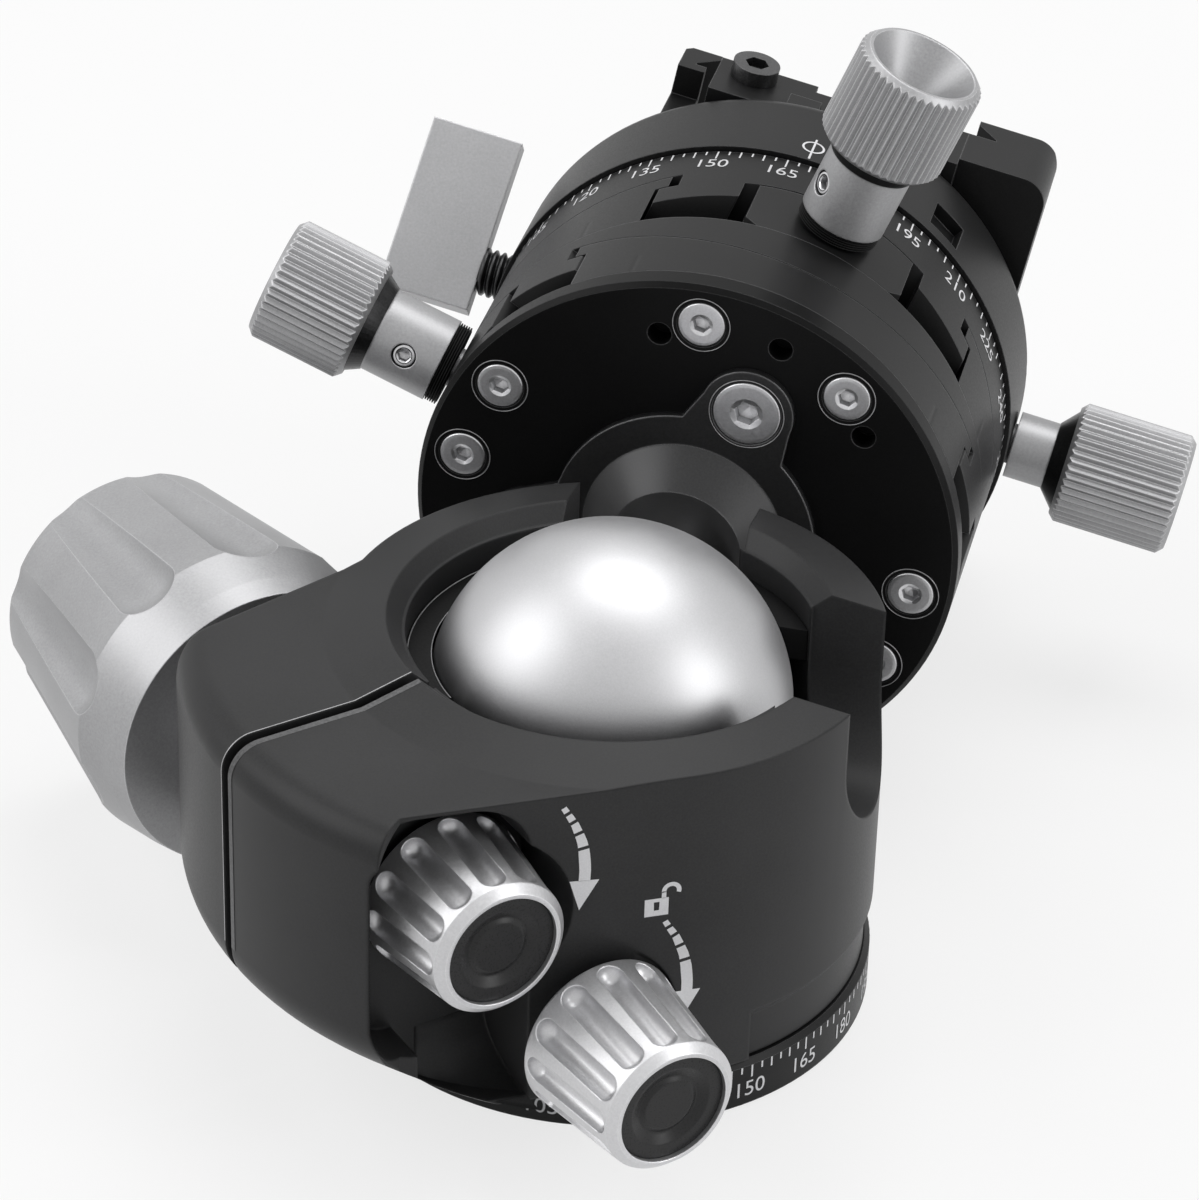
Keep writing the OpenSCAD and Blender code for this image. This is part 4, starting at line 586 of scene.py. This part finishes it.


# Worm knobs: cones under the grips, skinned dark as a painted dark reflection, ribbed washers and socketed set screws

COLLAR_START, COLLAR_LEN, COLLAR_R, CONE_LEN, CONE_R = 33.9, 8.0, 5.1, 1.8, 6.2
SET_AT, SET_R, SET_SOCKET, SET_SINK, SET_DEEP = 4.1, 1.4, 0.78, 0.3, 0.9
PLATE_H, STAGE_H, WORM_RISE = 3.1, 13.6, 6.0
LOWER_LEVEL = PLATE_L + PLATE_H + WORM_RISE
UPPER_LEVEL = LOWER_LEVEL + STAGE_H
LOCK_LEVEL, LOCK_STEM_R, LOCK_LEN, LOCK_CONE = 78.0, 4.1, 5.1, 1.9
RIB_COUNT, RIB_FROM, RIB_STEP, RIB_FOOT_R, RIB_R = 5, 32.35, 0.3, 4.62, 4.95
RIB_PROFILE = ((0.0, RIB_FOOT_R), (0.07, RIB_R), (0.2, RIB_R), (0.27, RIB_FOOT_R))
SKIN, CONE_STEP = 0.03, 0.1


def revolve(name, profile, centre, axis, material, body, around=64):
    """A closed ring of the profile's (distance along axis, radius) points, turned round an axis."""
    x, y, z = frame_of(axis)
    c, verts, faces, n = Vector(centre), [], [], len(profile)
    for k in range(around):
        a = 2 * math.pi * k / around
        out = x * math.cos(a) + y * math.sin(a)
        verts += [c + z * d + out * r for d, r in profile]
    for k in range(around):
        j = (k + 1) % around
        for i in range(n - 1):
            faces.append((k * n + i, j * n + i, j * n + i + 1, k * n + i + 1))
    return piece(name, verts, faces, material, body)


def worm_knob_parts(side, phi, level, set_turn):
    """A worm knob's cone skin, dark as a painted dark reflection, the ribs of its washer and its set screw's socketed
    end.
    """
    body = side + "_worm"
    out = Vector(on_stem(phi, 0.0, 1.0)) - Vector(on_stem(phi, 0.0, 0.0))
    axis_foot = on_stem(phi, level, 0.0)
    cone = COLLAR_START + COLLAR_LEN
    # Painted dark reflection: a thin dark skin over the silver collar's cone
    revolve(side + "_cone", [(cone + 0.15, COLLAR_R + CONE_STEP + SKIN), (cone + CONE_LEN, CONE_R + SKIN)],
            axis_foot, out, DARK_STEEL_AND_DARK_REFLECTION, body)
    ribs = [(RIB_FROM + RIB_STEP * i + d, r) for i in range(RIB_COUNT) for d, r in RIB_PROFILE]
    revolve(side + "_washer_ribs", ribs, axis_foot, out, LINER, body)
    a = math.radians(set_turn)
    across = Vector((math.sin(math.radians(phi)), 0.0, -math.cos(math.radians(phi))))
    way = Vector(TO_VIEWER) * math.cos(a) + across * math.sin(a)
    hole = Vector(on_stem(phi, level, COLLAR_START + SET_AT)) + way * (COLLAR_R - SET_SINK)
    screw_heads(side + "_set_screw_head", [hole], way, SET_R, SET_SOCKET, SET_DEEP, body, side + "_set_screw")


worm_knob_parts("lower", HEAD_PHI + 90.0, LOWER_LEVEL, 14.0)
worm_knob_parts("upper", HEAD_PHI, UPPER_LEVEL, -54.0)
clamp_out = Vector(on_stem(CLAMP_PHI, 0.0, 1.0)) - Vector(on_stem(CLAMP_PHI, 0.0, 0.0))
# Painted dark reflection: a thin dark skin over the lock knob's silver cone
lock_cone = TURN_R + LOCK_LEN
revolve("lock_cone", [(lock_cone + CONE_STEP, LOCK_STEM_R + CONE_STEP + SKIN), (lock_cone + LOCK_CONE, CONE_R + SKIN)],
        on_stem(CLAMP_PHI, LOCK_LEVEL, 0.0), clamp_out, DARK_STEEL_AND_DARK_REFLECTION, "turn_lock")


# Housing: the sawn strip beside the slit, and a painted highlight along the edge across from it

SLIT_HALF, LUG_REACH, LUG_TOP, TOP_R = 0.7, 47.0, 44.6, 3.6
CROWN_R, OPENING_R, CROWN_RISE = 31.2, 24.4, 1.4
LUG_TURN, SWEEP_Z = math.radians(225.0), 19.2
STRIP_LIFT, STRIP_LAP, STRIP_WIDE = 0.02, 0.02, 0.75
LINE_LIFT, LINE_FAR, LINE_NEAR = 0.03, 0.16, 0.01
CORNER_STEPS = 12


def lug_point(s, w, z):
    c, n = math.cos(LUG_TURN), math.sin(LUG_TURN)
    return (s * c - w * n, s * n + w * c, z)


def slit_path(lift):
    """The lug's outer surface along the slit: crown, top, rounded edge and plumb end."""
    points = [(OPENING_R, LUG_TOP + CROWN_RISE + lift), (CROWN_R, LUG_TOP + lift)]
    for i in range(CORNER_STEPS + 1):
        a, r = math.radians(90 - 90 * i / CORNER_STEPS), TOP_R + lift
        points.append((LUG_REACH - TOP_R + r * math.cos(a), LUG_TOP - TOP_R + r * math.sin(a)))
    points.append((LUG_REACH + lift, SWEEP_Z))
    return points


def slit_band(name, lift, near, far, material):
    """A narrow band along the slit, between two distances from the slit's middle."""
    verts, faces = [], []
    for s, z in slit_path(lift):
        verts += [lug_point(s, near, z), lug_point(s, far, z)]
    for i in range(len(verts) // 2 - 1):
        faces.append((2 * i, 2 * i + 1, 2 * i + 3, 2 * i + 2))
    piece(name, verts, faces, material, "housing")


slit_band("slit_sawn_strip", STRIP_LIFT, SLIT_HALF - STRIP_LAP, SLIT_HALF + STRIP_WIDE, SAWN)
slit_band("slit_edge_highlight", LINE_LIFT, -SLIT_HALF - LINE_FAR, -SLIT_HALF - LINE_NEAR, EDGE_HIGHLIGHT)


# A hollow fillet where the pocket's wall meets the lug's foot

POCKET_FLOOR, POCKET_LOW, FOOT_R = 15.0, 6.42, 36.2
FILLET_FROM, FILLET_TO, FILLET_H, FILLET_SINK, FILLET_STEPS, FILLET_RINGS = 24.3, 32.9, 6.5, 0.3, 24, 12


def pocket_fillet():
    """A closed wedge along the wall, hollow in section, as deep as the foot is at each place."""
    verts, faces, row = [], [], FILLET_RINGS + 3
    for i in range(FILLET_STEPS + 1):
        s = FILLET_FROM + (FILLET_TO - FILLET_FROM) * i / FILLET_STEPS
        deep = math.sqrt(FOOT_R ** 2 - s ** 2) - POCKET_FLOOR
        verts.append(lug_point(s, POCKET_FLOOR - FILLET_SINK, POCKET_LOW))
        for k in range(FILLET_RINGS + 1):
            a = math.radians(90) * k / FILLET_RINGS
            out, up = deep * (1 - math.sin(a)), FILLET_H * (1 - math.cos(a))
            verts.append(lug_point(s, POCKET_FLOOR + out, POCKET_LOW + up))
        verts.append(lug_point(s, POCKET_FLOOR - FILLET_SINK, POCKET_LOW + FILLET_H))
    for i in range(FILLET_STEPS):
        for k in range(row):
            m = (k + 1) % row
            faces.append((i * row + k, i * row + m, (i + 1) * row + m, (i + 1) * row + k))
    faces.append(tuple(range(row)))
    faces.append(tuple(FILLET_STEPS * row + k for k in reversed(range(row))))
    piece("pocket_fillet", verts, faces, HOUSE, "housing", True)


pocket_fillet()


# The liner's two rims, thin lines painted as bright highlights along the part of the opening where they show

RIM_LINE, RIM_START, RIM_END = 0.07, 120.0, 222.0
LINER_OUT_R, LINER_OUT_Z, LINER_IN_R, LINER_IN_Z = 22.05, 41.02, 19.45, 41.0


def pan_arc(name, r, z, thick, start, end):
    """A thin arc round the pan axis, from one direction to another."""
    verts, faces, steps, sides = [], [], 72, 6
    for i in range(steps + 1):
        a = math.radians(start + (end - start) * i / steps)
        for k in range(sides):
            b = 2 * math.pi * k / sides
            rr = r + thick * math.cos(b)
            verts.append((rr * math.cos(a), rr * math.sin(a), z + thick * math.sin(b)))
    for i in range(steps):
        for k in range(sides):
            m = (k + 1) % sides
            faces.append((i * sides + k, i * sides + m, (i + 1) * sides + m, (i + 1) * sides + k))
    return piece(name, verts, faces, EDGE_HIGHLIGHT, "housing", True)


pan_arc("liner_outer_rim", LINER_OUT_R, LINER_OUT_Z, RIM_LINE, RIM_START, RIM_END)
pan_arc("liner_inner_rim", LINER_IN_R, LINER_IN_Z, RIM_LINE, RIM_START, RIM_END)


# Studio

WHITE = (1, 1, 1, 1)
SKY_LIGHT, FLOOR_TONE, FLOOR_GLOW, FLOOR_R, FLOOR_DROP = 0.22, 0.88, 0.75, 3.0, 0.0002


def area(name, place, target, size, power):
    """A soft rectangular lamp, in metres and watts, that faces its target."""
    lamp = bpy.data.lights.new(name, "AREA")
    lamp.shape = "RECTANGLE"
    lamp.size, lamp.size_y = size
    lamp.energy = power
    o = bpy.data.objects.new(name, lamp)
    bpy.context.scene.collection.objects.link(o)
    o.location = place
    o.rotation_mode = "QUATERNION"
    o.rotation_quaternion = (Vector(target) - Vector(place)).to_track_quat("-Z", "Y")


middle = (0.0, 0.04, 0.035)
area("key_left", (-0.85, -0.25, 0.75), middle, (0.8, 0.8), 5.5)
area("top", (0.05, 0.35, 1.0), middle, (0.8, 0.6), 5.5)
area("right", (0.95, -0.15, 0.45), middle, (0.4, 0.8), 4.0)


def seen_share(tree, path):
    """One for rays from the camera, and for those that metal or glass sends on; else zero."""
    share = path.outputs["Is Camera Ray"]
    for kind in ("Is Glossy Ray", "Is Transmission Ray"):
        both = tree.nodes.new("ShaderNodeMath")
        both.operation = "MAXIMUM"
        tree.links.new(share, both.inputs[0])
        tree.links.new(path.outputs[kind], both.inputs[1])
        share = both.outputs["Value"]
    return share


world = bpy.data.worlds.new("studio")
bpy.context.scene.world = world
world.use_nodes = True
wt = world.node_tree
wt.nodes.clear()
w_out = wt.nodes.new("ShaderNodeOutputWorld")
w_seen = wt.nodes.new("ShaderNodeBackground")
w_light = wt.nodes.new("ShaderNodeBackground")
w_mix = wt.nodes.new("ShaderNodeMixShader")
path = wt.nodes.new("ShaderNodeLightPath")
w_seen.inputs["Color"].default_value = WHITE
w_seen.inputs["Strength"].default_value = 1.0
w_light.inputs["Strength"].default_value = SKY_LIGHT
w_light.inputs["Color"].default_value = WHITE
wt.links.new(seen_share(wt, path), w_mix.inputs["Fac"])
wt.links.new(w_light.outputs["Background"], w_mix.inputs[1])
wt.links.new(w_seen.outputs["Background"], w_mix.inputs[2])
wt.links.new(w_mix.outputs["Shader"], w_out.inputs["Surface"])

# The floor: pale, white to the camera, and it keeps the object's shadow
bm = bmesh.new()
bmesh.ops.create_circle(bm, cap_ends=True, segments=96, radius=FLOOR_R)
floor_mesh = bpy.data.meshes.new("floor")
bm.to_mesh(floor_mesh)
bm.free()
floor = bpy.data.objects.new("floor", floor_mesh)
bpy.context.scene.collection.objects.link(floor)
floor.location.z = -FLOOR_DROP
fm, ft, fs = new_material("floor_pale")
fs.inputs["Base Color"].default_value = (FLOOR_TONE, FLOOR_TONE, FLOOR_TONE, 1)
fs.inputs["Roughness"].default_value = 0.9
glow = ft.nodes.new("ShaderNodeEmission")
glow.inputs["Color"].default_value = WHITE
glow.inputs["Strength"].default_value = 1.0
floor_mix = ft.nodes.new("ShaderNodeMixShader")
ray = ft.nodes.new("ShaderNodeLightPath")
cam_share = ft.nodes.new("ShaderNodeMath")
cam_share.operation = "MULTIPLY"
cam_share.inputs[1].default_value = FLOOR_GLOW
ft.links.new(seen_share(ft, ray), cam_share.inputs[0])
ft.links.new(cam_share.outputs["Value"], floor_mix.inputs["Fac"])
ft.links.new(fs.outputs["BSDF"], floor_mix.inputs[1])
ft.links.new(glow.outputs["Emission"], floor_mix.inputs[2])
f_out = next(n for n in ft.nodes if n.type == "OUTPUT_MATERIAL")
ft.links.new(floor_mix.outputs["Shader"], f_out.inputs["Surface"])
floor_mesh.materials.append(fm)

# Camera at the photograph's viewing angle, worked out for 1199 by 1200
cam_data = bpy.data.cameras.new("camera")
cam = bpy.data.objects.new("camera", cam_data)
bpy.context.scene.collection.objects.link(cam)
bpy.context.scene.camera = cam
FOCAL_PX, PHOTO_PX, SENSOR = 4600.0, 1200.0, 36.0
cam_data.sensor_width = SENSOR
cam_data.lens = FOCAL_PX / PHOTO_PX * SENSOR
cam_data.clip_start, cam_data.clip_end = 0.05, 20.0
right = Vector((0.972102, 0.233207, 0.025129))
down = Vector((0.144775, -0.512264, -0.846538))
ahead = Vector((-0.184546, 0.826559, -0.531736))
eye = Vector((89.789, -408.731, 310.604)) * MM
cam.matrix_world = Matrix((
    (right.x, -down.x, -ahead.x, eye.x),
    (right.y, -down.y, -ahead.y, eye.y),
    (right.z, -down.z, -ahead.z, eye.z),
    (0, 0, 0, 1),
))

scene = bpy.context.scene
scene.view_settings.view_transform = "Standard"
